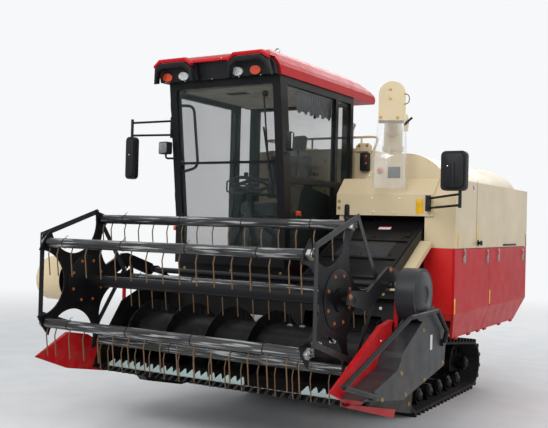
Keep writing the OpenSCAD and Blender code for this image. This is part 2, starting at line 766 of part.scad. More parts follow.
// Black visor under the roof's front: a lamp pod at each end, recessed between them
visor_lean = 35;
visor_foot = 5;
pod_w = 390;
function visor_side(back) = [[cab_y_top - 61, cab_z1 + fascia_h - fit], [cab_y_top - 1, cab_z1 - visor_foot],
    [roof_y0 + 5 + visor_lean + back, cab_z1 - visor_foot], [roof_y0 + 5 + back, cab_z1 + fascia_h - fit]];
module roof_visor() {
    z = cab_z1;
    color(BLACK) intersection() {
        union() {
            side(roof_x0 + 15, roof_x1 - 15, visor_side(34));
            for (x = [roof_x0 + 15, roof_x1 - 15 - pod_w]) side(x, x + pod_w, visor_side(0));
        }
        front(-big, big, [[roof_x0 + 15, z - visor_foot - 1], [roof_x0 + 15, z + 70],
                          [roof_x0 + 55, z + fascia_h], [roof_x1 - 55, z + fascia_h],
                          [roof_x1 - 15, z + 70], [roof_x1 - 15, z - visor_foot - 1]]);
    }
}

// Oval lamps on the faces of the pods
lamp_x = [-1067, -902, -367, -200];
lamp_z = 33;
lamp_half = [48, 34];
lamp_t = 14;
module roof_lamps() {
    span = fascia_h + visor_foot;
    a = atan2(visor_lean, span);
    y = roof_y0 + 5 + visor_lean * (fascia_h - lamp_z) / span;
    oval = [for (b = [0 : 11.25 : 348.75]) [lamp_half[0] * cos(b), lamp_half[1] * sin(b)]];
    color("white") for (x = lamp_x) translate([x, y, cab_z1 + lamp_z]) rotate([90 + a, 0, 0])
        translate([0, 0, fit]) linear_extrude(lamp_t) polygon(oval);
}

// Seat on its box: cushion, backrest leaning back, and headrest
cab_floor = cab_z0 + cab_t;
seat_x = (cab_x0 + cab_x1) / 2;
module seat() {
    color(BLACK) {
        side(seat_x - 250, seat_x + 250, [[-330, 1620], [-345, 1690], [-300, 1730], [100, 1705],
                                          [150, 1600], [-280, 1600]]);
        side(seat_x - 235, seat_x + 235, [[90, 1640], [170, 1610], [275, 2180], [255, 2215],
                                          [215, 2200], [120, 1760]]);
        side(seat_x - 130, seat_x + 130, rounded(215, 285, 2205, 2380, 25));
        block(seat_x - 120, seat_x + 120, -200, 60, cab_floor, 1605);
    }
}

// Side console and the steering column with its wheel
wheel_r = 175;
module console() {
    color(GREY) {
        side(seat_x + 275, seat_x + 465, [[-500, cab_floor], [-500, 1640], [-430, 1830], [-360, 1860],
                                          [60, 1800], [100, 1740], [100, cab_floor]]);
        block(seat_x - 60, seat_x + 60, -620, -500, cab_floor, cab_floor + 12);
        bar([seat_x, -565, cab_floor + 6], [seat_x, -480, 1850], 32);
        translate([seat_x, -480, 1855]) rotate([-22, 0, 0]) {
            rotate_extrude() translate([wheel_r, 0]) circle(r = 14);
            cylinder(r = 40, h = 24, center = true);
            for (b = [90, 210, 330]) rotate([0, 0, b]) rotate([0, 90, 0]) cylinder(r = 8, h = wheel_r);
        }
    }
}

// Both mirrors: tube arms to an upright tube, and a round-cornered head
mirror_x = 1380;
arm_tube_r = 9;
module mirror_arms(posts, y, x, zs) {
    for (i = [0, 1]) bar(posts[i], [x, y, zs[i]], arm_tube_r);
    bar([x, y, min(zs) - 20], [x, y, max(zs) + 30], arm_tube_r + 3);
}
module mirrors() {
    block_y = body_y0 - sheet_t;
    color(BLACK) {
        // Left: hinge block on the front cover
        block(930, 960, block_y - 50, block_y, 1665, 1790);
        mirror_arms([[945, block_y - 25, 1690], [945, block_y - 25, 1765]], -665, 1330, [1705, 1785]);
        front(-690, -640, rounded(mirror_x - 190, mirror_x, 1808, 2095, 35));
        // Right: bracket on the cab's front pillar
        block(cab_x0 - 14, cab_x0 - fit, -915, -865, 2245, 2420);
        mirror_arms([[cab_x0 - 9, -890, 2391], [cab_x0 - 9, -890, 2272]], -1165, -1336, [2350, 2245]);
        front(-1190, -1140, rounded(-mirror_x, -mirror_x + 100, 1880, 2232, 35));
    }
}

module side_steps() {
    color(BLACK) {
        for (y = [-640, -260]) bar([cover_x0 - 30, y, 1180], [cover_x0 - 120, y, 420], 16);
        for (z = [430, 690, 950]) block(cover_x0 - 210, cover_x0 - 30, -640, -260, z, z + 25);
        for (y = [-640, -280]) block(cover_x0 - 60, cover_x0, y, y + 20, 960, 975);
    }
}

// Feeder house: a flat duct from the header's back wall up to its shaft
feeder_top = [wall_y - 90, 935];
feeder_foot = [wall_y + wall_t, 300];
mouth_in = 30;
mouth_z = [350, 700];
shaft_c = [pivot_y, pivot_z];
feeder_crest = touch(shaft_c, feeder_r, feeder_top, -1);
crest_a = atan2(feeder_crest[1] - pivot_z, feeder_crest[0] - pivot_y);
feeder_outline = concat([[wall_y + wall_t, beam_z + beam_h], [feeder_top[0], beam_z + beam_h], feeder_top],
    arc(shaft_c, feeder_r, crest_a, -40, 24), [touch(shaft_c, feeder_floor_r, feeder_foot, 1), feeder_foot]);
module feeder_house() {
    e = [lc_eye_y, lc_eye_z];
    color(BLACK) on_header() {
        difference() {
            side(feeder_x0, feeder_x1, feeder_outline);
            // Mouth behind the auger
            side(feeder_x0 + mouth_in, feeder_x1 - mouth_in,
                 [[wall_y - 1, mouth_z[0]], [wall_y + 30, mouth_z[0]], [wall_y + 240, 565],
                  [wall_y + 240, mouth_z[1]], [wall_y - 1, mouth_z[1]]]);
        }
        // Shaft the feeder swings on, in the body's bearings
        xbar(shaft_x0, feeder_x0 + 5, pivot_y, pivot_z, shaft_r);
        xbar(feeder_x1 - 5, shaft_x1, pivot_y, pivot_z, shaft_r);
        // Ears under the floor for the lift cylinder's eye
        for (x = [lc_x - 36, lc_x + 24])
            side(x, x + 12, [e + [-30, -30], e + [30, -30], e + [50, 155], e + [-30, 85]]);
    }
}

// Sloping guard beside the feeder, ending ahead of the body's front
module feeder_guard() {
    g0 = [wall_y + wall_t + fit, 890];
    g1 = [wall_y + wall_t + fit, 845];
    color(CREAM) intersection() {
        on_header() side(feeder_x1, feeder_x1 + 90,
                         [touch(shaft_c, 250, g0, -1), g0, g1, touch(shaft_c, 205, g1, -1)]);
        block(feeder_x1, feeder_x1 + 100, -big, body_y0 - 50, 0, big);
    }
}

// Trough, walls, beams and brackets of the header
lip_gap = 10;
lip_foot = 50;
trough_r = flight_r + trough_gap;
auger_c = [auger_y, auger_z];
side_outline = [[lip_y - 70, 60], [wall_y + wall_t, 60], [wall_y + wall_t, beam_z + beam_h],
                [wall_y - beam_d, beam_z + beam_h], [auger_y - 245, 600], [lip_y - 40, 240]];
module header_frame() {
    inner = header_half - side_t;
    color(BLACK) on_header() {
        difference() {
            union() {
                // Platform and trough
                side(-inner, inner, concat([[lip_y, knife_z - 4]], arc(auger_c, trough_r, 250, 360, 11),
                     arc(auger_c, trough_r + 8, 360, 250, 11), [[lip_y, knife_z - 12]]));
                // Back wall
                block(-inner, inner, wall_y, wall_y + wall_t, 130, beam_z + beam_h);
            }
            block(feeder_x0 + mouth_in, feeder_x1 - mouth_in, wall_y - 1, wall_y + wall_t + 1,
                  mouth_z[0], mouth_z[1]);
        }
        // Beams along the top, the back foot and the lip
        block(-inner, inner, wall_y - beam_d, wall_y, beam_z, beam_z + beam_h);
        block(-inner, inner, wall_y - 60, wall_y + wall_t, 60, 130);
        block(-inner, inner, lip_y + lip_gap, lip_y + 70, lip_foot, knife_z - 12);
        // Side plates with a bore for the auger's shaft
        pair() difference() {
            side(header_half - side_t, header_half, side_outline);
            xbar(header_half - side_t - 1, header_half + 1, auger_y, auger_z, 25 + fit);
        }
        // Brackets for the reel arms' shaft
        pair() difference() {
            side(arm_x - 40, arm_x - 22, [[wall_y - beam_d + 10, beam_z + beam_h], [arm_y - 40, arm_z - 20],
                 [arm_y - 30, arm_z + 30], [arm_y + 30, arm_z + 40], [wall_y - 20, beam_z + beam_h]]);
            xbar(arm_x - 41, arm_x - 21, arm_y, arm_z, arm_shaft_r + fit);
        }
        // Skid shoes under the platform
        pair() side(700, 780, [[lip_y + lip_gap, lip_foot], [lip_y + 60, 20], [wall_y - 150, 20],
                               [wall_y, 60], [lip_y + lip_gap, 60]]);
    }
}

// Pointed crop dividers: side outline cut to a wedge in plan
left_divider = [[-2094, 126], [-1535, 570], [-1376, 632], [-1373, 565], [-1407, 227], [-1711, 83],
                [-1848, 77]];
right_divider = [[-2111, 80], [-1831, 288], [-1632, 297], [-1425, 236], [-1370, 45], [-1768, 30]];
divider_w = 34;
module divider(outline) {
    tip = outline[0][0];
    x1 = header_half + divider_w;
    intersection() {
        side(header_half, x1, outline);
        plan(-big, big, [[header_half, -1370], [header_half, tip], [header_half + 8, tip],
                         [x1, -1850], [x1, -1370]]);
    }
}
module dividers() {
    color(RED) on_header() {
        divider(left_divider);
        side(header_half, header_half + divider_w, [[-1919, 61], [-1191, 22], [-1173, 76], [-1850, 76]]);
        mirror([1, 0, 0]) divider(right_divider);
    }
}

// Guard fingers and the white serrated strips over the knife, [x0, x1]
strip_rise = 2.6;
finger_n = floor(2 * guard_half / knife_pitch);
strips = [[-1060, 180], [630, 1060]];
module cutter_bar() {
    z = knife_z - 12 - fit;
    lip_top = knife_z - 4;
    color(BLACK) on_header() {
        block(-guard_half - 20, guard_half + 20, lip_y, lip_y + lip_gap - fit, z - 34, z);
        for (i = [0 : finger_n]) translate([(i - finger_n / 2) * knife_pitch, 0, 0])
            side(-9, 9, [[lip_y + 1, z - 34], [lip_y + 1, z], [lip_y - 40, z],
                         [lip_y - guard_reach, z - 38], [lip_y - 40, z - 36]]);
    }
    // Strips stand on a foot behind the knife and lean back
    color("white") on_header() for (s = strips) {
        n = floor((s[1] - s[0]) / knife_pitch);
        block(s[0], s[0] + n * knife_pitch, lip_y - 3, lip_y - fit, z - 30, knife_z + 6);
        block(s[0], s[0] + n * knife_pitch, lip_y - 3, lip_y + 8, lip_top + strip_rise, knife_z + 6);
        translate([0, lip_y, knife_z + 2]) rotate([-28, 0, 0]) front(0, 3,
            concat([[s[0] + n * knife_pitch, -2], [s[0], -2]],
            [for (i = [0 : n - 1], p = [[0.05, 10], [0.42, strip_h], [0.58, strip_h], [0.95, 10]])
                [s[0] + (i + p[0]) * knife_pitch, p[1]]]));
    }
}

// Reciprocating knife: bar with pointed sections
stroke = knife_pitch / 2;
module knife() {
    half = guard_half - stroke - 5;
    n = floor(2 * half / knife_pitch) - 1;
    back = lip_y - 6;
    color(STEEL) on_header() plan(knife_z - 12, knife_z - 9, concat([[half, back], [-half, back]],
        [for (i = [0 : n - 1], p = [[-0.5, 22], [-0.12, section_len], [0.12, section_len], [0.5, 22]])
            [(i - (n - 1) / 2 + p[0]) * knife_pitch, back - p[1]]]));
}

// Dark drive case and round belt cover on the header's left side
drive_outline = [[-1076, 783], [-785, 687], [-763, 613], [-747, 415], [-1429, 144], [-2013, 105],
                 [-1560, 316], [-1517, 392], [-1509, 424]];
belt_c = [-1270, 820];
belt_r = 170;
module drive_cover() {
    color(GREY) on_header() {
        side(drive_x0, drive_x1, drive_outline);
        xbar(drive_x0 + 14, drive_x1, belt_c[0], belt_c[1], belt_r);
        // Spacers between the header's side plate and the case
        for (p = [[-1000, 600], [-880, 480], [-1350, 300]])
            xbar(header_half + fit, drive_x0 - fit, p[0], p[1], 25);
    }
}

// Tube rail on the drive case, on a foot at each end
rail_tube_r = 15;
rail_foot = drive_x1 + 18;
rail_x1 = drive_x1 + 50 - 1.1 * rail_tube_r;
rail_line = [[rail_foot, -1900, 140], [rail_x1, -2342, 167], [rail_x1, -1533, 640], [rail_x1, -1070, 748],
             [rail_x1, -856, 641], [rail_foot, -840, 560]];
module guard_rail() {
    color(GREY) on_header() {
        bent(rail_line, rail_tube_r);
        for (p = [rail_line[0], rail_line[len(rail_line) - 1]])
            xbar(drive_x1 + fit, rail_foot, p[1], p[2], 24);
    }
}

// Drum with its flights, fingers and shaft
finger_rows = [[300, 20], [400, 200], [500, 320], [600, 80], [700, 250], [800, 150]];
slice_h = 17;
flight_t = 20;
module flight(x0, x1, hand, start) {
    h = x1 - x0;
    translate([x0, auger_y, auger_z]) rotate([0, 90, 0]) rotate([0, 0, start])
        linear_extrude(h, twist = hand * 360 * h / flight_pitch, slices = round(h / slice_h), $fn = 4)
            translate([drum_r - 8, -flight_t / 2]) square([flight_r - drum_r + 8, flight_t]);
}
module feed_auger() {
    end = header_half - side_t - 12;
    color(BLACK) on_header() {
        xbar(-end, end, auger_y, auger_z, drum_r);
        xbar(-header_half - 20, header_half + 28, auger_y, auger_z, 25);
        flight(-end + 5, 250, 1, 0);
        flight(880, end - 5, -1, 90);
    }
    color(STEEL) on_header() for (f = finger_rows, a = [0, 180])
        translate([f[0], auger_y, auger_z]) rotate([f[1] + a, 0, 0]) cylinder(r = 8, h = flight_r - 12);
}

// Arms that carry the reel, their cross shaft and the reel drive's round cover
reel_c = raised([reel_y, reel_z]);
arm_outline = [[-1945, 640], [-1945, 725], [-1700, 760], [-1440, 960], [-1380, 975], [-1060, 950],
               [-1015, 900], [-1060, 850], [-1360, 880], [-1640, 665], [-1700, 640]];
module reel_arms() {
    color(BLACK) on_header() {
        difference() {
            pair() side(arm_x, arm_x + arm_w, arm_outline);
            xbar(-big, big, reel_y, reel_z, 20 + fit);
        }
        xbar(-arm_x, arm_x, arm_y, arm_z, arm_shaft_r);
        // Ears for the reel cylinders' eyes
        pair() xbar(arm_x + arm_w, rc_x - 10, rc_eye_y, rc_eye_z, 14);
    }
    color(CREAM) on_header() xbar(-mirror_x + 5, -arm_x - arm_w, reel_y, reel_z, 160);
}

// A star plate's outline: arms between scooped sides
bat_phase = 36;
bat_step = 360 / bat_n;
scoop_r = 225;
pin_r = 12;
module star(x0) {
    translate([x0, 0, 0]) rotate([90, 0, 90]) linear_extrude(star_t) difference() {
        circle(r = reel_r + 40, $fn = 64);
        for (i = [0 : bat_n - 1]) rotate(180 - bat_phase + i * bat_step) {
            rotate(bat_step / 2) translate([reel_r - 25, 0]) circle(r = scoop_r, $fn = 64);
            translate([reel_r, 0]) circle(r = pin_r + fit);
        }
    }
}
module at_reel() {
    translate([0, reel_c[0], reel_c[1]]) children();
}
module reel_core() {
    color(BLACK) at_reel() {
        xbar(-star_x, star_x, 0, 0, reel_tube_r);
        xbar(-arm_x - arm_w + 2, arm_x + arm_w - 2, 0, 0, 20);
        star(star_x);
        star(-star_x - star_t);
        pair() xbar(star_x + star_t, star_x + star_t + 25, 0, 0, 75);
    }
}

// A bat: tube, end pins, cranks and hanging tines
crank_x = star_x + star_t + 38;
ring_x = crank_x + 10;
function bat_at(i) = let (a = 180 - bat_phase - (i - 1) * bat_step) reel_c + reel_r * [cos(a), sin(a)];
tine_pitch = 131;
kink = 18;
crank_pin_r = 7;
function tine_x(k) = let (m = (tine_n - 1) / 2, d = k - m)
    (d < 0 ? -1 : 1) * (abs(d) < m ? abs(d) * tine_pitch : (m - 1) * tine_pitch + 80);
module bat(i) {
    c = bat_at(i);
    color(BLACK) {
        xbar(-bat_half, bat_half, c[0], c[1], bat_r);
        pair() {
            xbar(bat_half, crank_x + 7, c[0], c[1], pin_r);
            side(crank_x, crank_x + 7, [c + [-15, -15], c + [15, -15],
                                        c + [12, crank + 12], c + [-12, crank + 12]]);
            xbar(crank_x, ring_x + 8, c[0], c[1] + crank, crank_pin_r);
        }
    }
    // Each tine is kinked forward under the bat, then hangs straight
    r = tine_r;
    tine = [[r, -20], [r - kink, -78], [r, -tine_drop], [-r, -tine_drop], [-r - kink, -78], [-r, -20]];
    color(COPPER) for (k = [0 : tine_n - 1]) side(tine_x(k) - r, tine_x(k) + r, [for (p = tine) c + p]);
}
module bat_1() { bat(1); }
module bat_2() { bat(2); }
module bat_3() { bat(3); }
module bat_4() { bat(4); }
module bat_5() { bat(5); }

// Five-sided rings of flat bar that keep the bats upright
module reel_rings() {
    color(GREY) pair() translate([ring_x, reel_c[0], reel_c[1] + crank]) rotate([90, 0, 90])
        linear_extrude(6) rotate(180 - bat_phase) difference() {
            circle(r = reel_r + 20, $fn = bat_n);
            circle(r = reel_r - 25, $fn = bat_n);
            for (i = [0 : bat_n - 1]) rotate(i * bat_step) translate([reel_r, 0])
                circle(r = crank_pin_r + fit, $fn = 24);
        }
}

// Hydraulic cylinders: barrel from its pivot towards the eye, rod from inside it to the eye
lc_eye = raised([lc_eye_y, lc_eye_z]);
module lift_barrel() {
    a = [lc_x, lc_y, lc_z];
    b = [lc_x, lc_eye[0], lc_eye[1]];
    u = (b - a) / norm(b - a);
    color(RED) difference() {
        union() {
            bar(a + 30 * u, a + 470 * u, lc_r);
            xbar(lc_x - 34, lc_x + 34, lc_y, lc_z, 34);
            xbar(lc_x - 50, lc_x + 50, lc_y, lc_z, 15 - fit);
        }
        bar(a + 60 * u, a + 471 * u, 18 + fit);
    }
}
module lift_rod() {
    a = [lc_x, lc_y, lc_z];
    b = [lc_x, lc_eye[0], lc_eye[1]];
    u = (b - a) / norm(b - a);
    color(STEEL) {
        bar(b - 470 * u, b - 10 * u, 18);
        xbar(lc_x - 20, lc_x + 20, lc_eye[0], lc_eye[1], 28);
    }
}

// Reel cylinder's line in the header's own side view
rc_u = let (d = [rc_eye_y - rc_y, rc_eye_z - rc_z]) d / norm(d);
module reel_barrels() {
    a = [rc_x, rc_y, rc_z];
    u = [0, rc_u[0], rc_u[1]];
    color(RED) on_header() pair() difference() {
        union() {
            bar(a, a + 300 * u, rc_r);
            xbar(header_half + fit, rc_x + 12, rc_y, rc_z, 20);
        }
        bar(a + 30 * u, a + 301 * u, 8 + fit);
    }
}
module reel_rods() {
    e = [rc_x, rc_eye_y, rc_eye_z];
    u = [0, rc_u[0], rc_u[1]];
    color(STEEL) on_header() pair() {
        bar(e - 340 * u, e, 8);
        xbar(rc_x - 9, rc_x + 9, rc_eye_y, rc_eye_z, 16);
    }
}

chassis_frame();
drive_axle();
track_left();
track_right();
rollers();
thresher_body();
thresher_cover();
front_cover();
side_drives();
side_door_front();
side_door_rear();
straw_hood();
grain_tank();
fuel_tank();
engine_block();
engine_cover();
unload_riser();
unload_tube();
chute_film();
cab_frame();
cab_glass();
cab_door();
cab_roof();
roof_visor();
roof_lamps();
seat();
console();
mirrors();
side_steps();
feeder_house();
feeder_guard();
header_frame();
dividers();
cutter_bar();
knife();
drive_cover();
guard_rail();
feed_auger();
reel_arms();
reel_core();
bat_1();
bat_2();
bat_3();
bat_4();
bat_5();
reel_rings();
lift_barrel();
lift_rod();
reel_barrels();
reel_rods();
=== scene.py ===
# Looks of a tracked combine harvester: finishes, fittings, light and camera.
# Metres in the part's own frame: X to the machine's left, Y to its rear, Z up.
import math
from itertools import product

import bmesh
import bpy
from mathutils import Matrix, Vector


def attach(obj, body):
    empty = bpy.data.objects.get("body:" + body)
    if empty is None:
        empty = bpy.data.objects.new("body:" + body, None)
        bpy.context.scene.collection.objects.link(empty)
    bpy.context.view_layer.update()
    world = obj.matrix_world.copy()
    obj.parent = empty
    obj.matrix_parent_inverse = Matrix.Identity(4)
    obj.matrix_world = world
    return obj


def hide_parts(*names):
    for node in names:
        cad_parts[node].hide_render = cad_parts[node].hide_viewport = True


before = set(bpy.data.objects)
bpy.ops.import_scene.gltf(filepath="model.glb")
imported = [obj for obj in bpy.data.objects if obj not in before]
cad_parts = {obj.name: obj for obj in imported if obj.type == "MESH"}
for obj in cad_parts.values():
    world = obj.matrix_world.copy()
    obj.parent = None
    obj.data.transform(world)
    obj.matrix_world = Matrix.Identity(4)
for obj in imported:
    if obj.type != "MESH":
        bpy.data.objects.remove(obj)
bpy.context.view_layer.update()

STILL = Matrix.Identity(4)
LEFT, RIGHT = Vector((1, 0, 0)), Vector((-1, 0, 0))
FRONT, REAR = Vector((0, -1, 0)), Vector((0, 1, 0))
UP, DOWN = Vector((0, 0, 1)), Vector((0, 0, -1))

# The header stands raised about the feeder's upper shaft
PIVOT = Vector((0.0, -0.02, 1.3))
HEADER_TILT = math.radians(12.5)
ON_HEADER = Matrix.Translation(PIVOT) @ Matrix.Rotation(-HEADER_TILT, 4, "X") @ Matrix.Translation(-PIVOT)

# The reel's shaft and its five bats from the side, as (Y, Z)
REEL_Y, REEL_Z = -1.9702, 1.0922
BAT_REST = ((-2.3513, 1.369), (-1.8247, 1.5401), (-1.4992, 1.0922), (-1.8247, 0.6442), (-2.3513, 0.8154))

RED = (0.52, 0.008, 0.013)
BODY_RED = (0.62, 0.012, 0.012)
CREAM = (0.66, 0.53, 0.33)
BLACK = (0.005, 0.005, 0.006)
CHARCOAL = (0.024, 0.025, 0.028)
PALE = (0.58, 0.74, 0.7)
ORANGE = (0.75, 0.065, 0.008)
COPPER = (0.15, 0.085, 0.04)
DUST = (0.22, 0.17, 0.12)
SOIL = (0.07, 0.056, 0.042)
GLASS = (0.035, 0.055, 0.05)
LENS = (0.7, 0.71, 0.7)


# Materials

def tint(colour, times=1.0):
    """A colour made darker or lighter; one number is a grey"""
    red, green, blue = (colour,) * 3 if isinstance(colour, float) else colour[:3]
    return (red * times, green * times, blue * times, 1.0)


class Tree:
    """A node tree and short ways to add to it"""

    def __init__(self, tree, end):
        self.nodes, self.links = tree.nodes, tree.links
        self.nodes.clear()
        self.end = self.nodes.new("ShaderNodeOutput" + end)

    def put(self, node, name, value):
        """An output linked to a node's socket, or a value set on it"""
        socket = node.inputs[name]
        if isinstance(value, bpy.types.NodeSocket):
            self.links.new(value, socket)
        else:
            socket.default_value = tint(value) if socket.type == "RGBA" else value

    def add(self, kind, inputs, **settings):
        """A new node's outputs; inputs give its sockets a value or another output"""
        node = self.nodes.new("ShaderNode" + kind)
        for name, value in settings.items():
            setattr(node, name, value)
        for name, value in inputs.items():
            self.put(node, name, value)
        return node.outputs

    def maths(self, operation, a, b):
        return self.add("Math", {0: a, 1: b}, operation=operation)["Value"]

    def spot(self):
        """The object's own coordinates"""
        return self.add("TexCoord", {})["Object"]

    def noise(self, scale, detail=4.0, stretch=(1, 1, 1)):
        at = self.add("Mapping", {"Vector": self.spot(), "Scale": stretch})["Vector"]
        return self.add("TexNoise", {"Vector": at, "Scale": scale, "Detail": detail})["Fac"]

    def ramp(self, value, start, first, end, last):
        """Colours or greys along a value, from first at start to last at end"""
        node = self.nodes.new("ShaderNodeValToRGB")
        self.put(node, "Fac", value)
        for element, place, colour in zip(node.color_ramp.elements, (start, end), (first, last)):
            element.position, element.color = place, tint(colour)
        return node.outputs["Color"]

    def shades(self, value, colour, dark, light):
        return self.ramp(value, 0.3, tint(colour, dark), 0.7, tint(colour, light))

    def mixed(self, share, a, b):
        return self.add("Mix", {0: share, 6: a, 7: b}, data_type="RGBA")[2]

    def beyond(self, axis, edge, middle=None, tilted=False):
        """1 past an edge of the object's own coordinates; from a middle, both ways; tilted follows the header"""
        at = self.spot()
        if tilted:
            at = self.add("Mapping", {"Vector": at, "Location": ON_HEADER.inverted().to_translation(),
                                      "Rotation": (HEADER_TILT, 0.0, 0.0)})["Vector"]
        value = self.add("SeparateXYZ", {"Vector": at})[axis]
        if middle is not None:
            value = self.maths("ABSOLUTE", self.maths("SUBTRACT", value, middle), 0.0)
        return self.maths("GREATER_THAN", value, edge)


class Finish(Tree):
    """A material, with a slot name kept on it that no piece reads"""

    def __init__(self, name, slot=None):
        self.slot = slot
        self.mat = bpy.data.materials.new(name)
        self.mat.use_nodes = True
        super().__init__(self.mat.node_tree, "Material")
        self.shader = self.nodes.new("ShaderNodeBsdfPrincipled")
        self.put(self.end, "Surface", self.shader.outputs["BSDF"])

    def set(self, **inputs):
        """Values or outputs for the shader's sockets, with _ for a space"""
        for name, value in inputs.items():
            self.put(self.shader, name.replace("_", " "), value)

    def bump(self, height, strength, distance):
        self.set(Normal=self.add("Bump", {"Height": height, "Strength": strength, "Distance": distance})["Normal"])
        return self


def painted(name, colour, slot=None, rough=0.3, coat=0.3, dust=0.25, gloss=0.5, second=None):
    """Sprayed sheet metal: faint mottling, fine orange peel and dust that gathers low down.
    second is another paint and where it starts: (colour, axis, edge, middle, tilted)"""
    look = Finish(name, slot)
    mottle = look.noise(2.5, 5.0)
    base = look.shades(mottle, colour, 0.9, 1.06)
    if second:
        other, *where = second
        base = look.mixed(look.beyond(*where), base, look.shades(mottle, other, 0.88, 1.06))
    height = look.add("SeparateXYZ", {"Vector": look.spot()})["Z"]
    low = look.add("MapRange", {"Value": height, "From Min": 1.1, "From Max": 0.0, "To Max": dust})["Result"]
    grain = look.ramp(look.noise(14.0, 8.0), 0.42, 0.0, 0.62, 1.0)
    look.set(Base_Color=look.mixed(look.maths("MULTIPLY", low, grain), base, DUST),
             Roughness=look.shades(look.noise(9.0, 6.0), rough, 0.85, 1.25),
             Coat_Weight=coat, Coat_Roughness=0.1, Specular_IOR_Level=gloss)
    return look.bump(look.noise(160.0, 2.0), 0.05, 0.002)


def wrapped_bat(name, edge):
    """Black tube in creased clear wrap above the edge, with grey painted highlight streaks along the wrap,
    copper-coloured tines below it
    """
    look = painted(name, COPPER, None, 0.3, 0.0, 0.05, 0.4, (BLACK, "Z", edge))
    tube = look.beyond("Z", edge)
    # Grey streaks mixed into the tube's colour are painted highlights of the glossy wrap
    streaks = look.noise(75.0, 8.0, (0.05, 1.0, 1.0))
    painted_highlight_streaks = look.maths("MULTIPLY", look.ramp(streaks, 0.54, 0.0, 0.64, 0.75), tube)
    under = look.shader.inputs["Base Color"].links[0].from_socket
    creases = look.noise(30.0, 6.0, (0.06, 1.0, 1.0))
    sheen = look.maths("MULTIPLY", look.ramp(creases, 0.42, 0.0, 0.6, 1.0), tube)
    look.set(Base_Color=look.mixed(painted_highlight_streaks, under, 0.42), Coat_Weight=sheen,
             Roughness=look.mixed(sheen, 0.42, 0.16))
    return look.bump(creases, 0.9, 0.01)


def framed_pane(name, middle, half):
    """Black frame with a clear pane standing in a band of X"""
    look = painted(name, GLASS, None, 0.12, 0.0, 0.0, 0.5, (BLACK, "X", half, middle))
    look.set(Alpha=look.mixed(look.beyond("X", half, middle), 0.2, 1.0))
    return look


def bare_metal(name, colour, slot, rough):
    """Plated or brushed metal with fine scratches"""
    look = Finish(name, slot)
    fine = look.noise(90.0, 3.0)
    look.set(Base_Color=look.shades(look.noise(20.0, 6.0), colour, 0.75, 1.0),
             Roughness=look.shades(fine, rough, 0.7, 1.3), Metallic=1.0)
    return look.bump(fine, 0.08, 0.001)


def moulded(name, colour, rough, grain, gloss):
    """Moulded plastic or a printed label with a fine grain"""
    look = Finish(name, "plastic")
    look.set(Base_Color=look.shades(look.noise(6.0, 5.0), colour, 0.8, 1.25),
             Roughness=rough, Specular_IOR_Level=gloss)
    return look.bump(look.noise(grain, 2.0), 0.15, 0.002)


def woven(name, colour, threads):
    """Cloth with crossed threads, a slow change of tone and a soft sheen"""
    look = Finish(name, "seat_cloth")
    warp, weft = (look.add("TexWave", {"Vector": look.spot(), "Scale": threads, "Distortion": 0.6},
                           bands_direction=way)["Fac"] for way in "XZ")
    height = look.maths("MULTIPLY", warp, weft)
    tone = look.shades(look.noise(12.0, 6.0), colour, 0.75, 1.2)
    look.set(Base_Color=look.mixed(height, tone, tint(colour, 1.6)), Roughness=0.9, Sheen_Weight=0.3)
    return look.bump(height, 0.3, 0.001)


def track_rubber(name):
    """Black rubber with dry soil on its lugs"""
    look = Finish(name)
    soil = look.ramp(look.noise(7.0, 9.0), 0.5, 0.0, 0.75, 0.45)
    base = look.ramp(look.noise(30.0, 5.0), 0.3, 0.008, 0.7, 0.022)
    look.set(Base_Color=look.mixed(soil, base, SOIL), Roughness=0.78, Specular_IOR_Level=0.3)
    return look.bump(look.noise(55.0, 7.0), 0.35, 0.004)


def clear(name, colour, slot, rough, alpha, crumple, scale):
    """Glass or film: a thin pane that lets most light straight through"""
    look = Finish(name, slot)
    smear = look.noise(scale, 6.0, (1, 1, 0.4))
    look.set(Base_Color=look.ramp(smear, 0.35, tint(colour, 0.85), 0.7, colour),
             Alpha=look.ramp(smear, 0.35, alpha * 0.8, 0.7, alpha * 1.25),
             Roughness=rough, IOR=1.5, Specular_IOR_Level=0.8)
    return look.bump(smear, crumple, 0.004)


def lit_lens(name, colour, second=None):
    """Moulded lens with small cells; second is another colour and where it starts"""
    look = Finish(name, "lamp")
    cells = look.add("TexVoronoi", {"Vector": look.spot(), "Scale": 70.0})["Distance"]
    base = look.ramp(cells, 0.1, tint(colour, 0.6), 0.7, colour)
    if second:
        other, *where = second
        base = look.mixed(look.beyond(*where), base, look.ramp(cells, 0.1, tint(other, 0.6), 0.7, other))
    look.set(Base_Color=base, Roughness=0.12, Coat_Weight=1.0)
    return look.bump(cells, 0.4, 0.002)


# Where two finishes meet on one solid
BODY_SEAM_Z, DISC_X, KNIFE_LIP_Z, TINES_UNDER = 1.38, -1.1405, 0.089, 0.033
DOOR_PANE_X, PANE_HALF = -1.1075, 0.004
LAMPS_MIDDLE_X, AMBER_FROM = -0.6345, 0.35

PAINT_RED = painted("red_enamel", RED, "red_paint", 0.34, 0.0, gloss=0.16)
PAINT_CREAM = painted("cream_enamel", CREAM, "cream_paint", 0.36, 0.2, gloss=0.4)
PAINT_BLACK = painted("black_enamel", BLACK, "black_paint", 0.36, 0.0, 0.08, 0.2)
PAINT_CHARCOAL = painted("charcoal_enamel", CHARCOAL, "grey_paint", 0.36, 0.0, 0.15, 0.28)
ORANGE_BOLT = painted("orange_bolt_paint", (0.34, 0.1, 0.025), "steel", 0.4, 0.1)
BODY_TWO = painted("body_cream_over_red", BODY_RED, None, 0.34, 0.2, 0.15, 0.4, (CREAM, "Z", BODY_SEAM_Z))
ARMS_TWO = painted("arms_black_and_cream_disc", CREAM, None, 0.36, 0.1, 0.1, 0.3, (BLACK, "X", DISC_X))
KNIFE_TWO = painted("knife_bar_pale_over_black", BLACK, None, 0.4, 0.05, 0.1, 0.4,
                    (PALE, "Z", KNIFE_LIP_Z, None, True))
DOOR_TWO = framed_pane("door_frame_and_pane", DOOR_PANE_X, PANE_HALF)
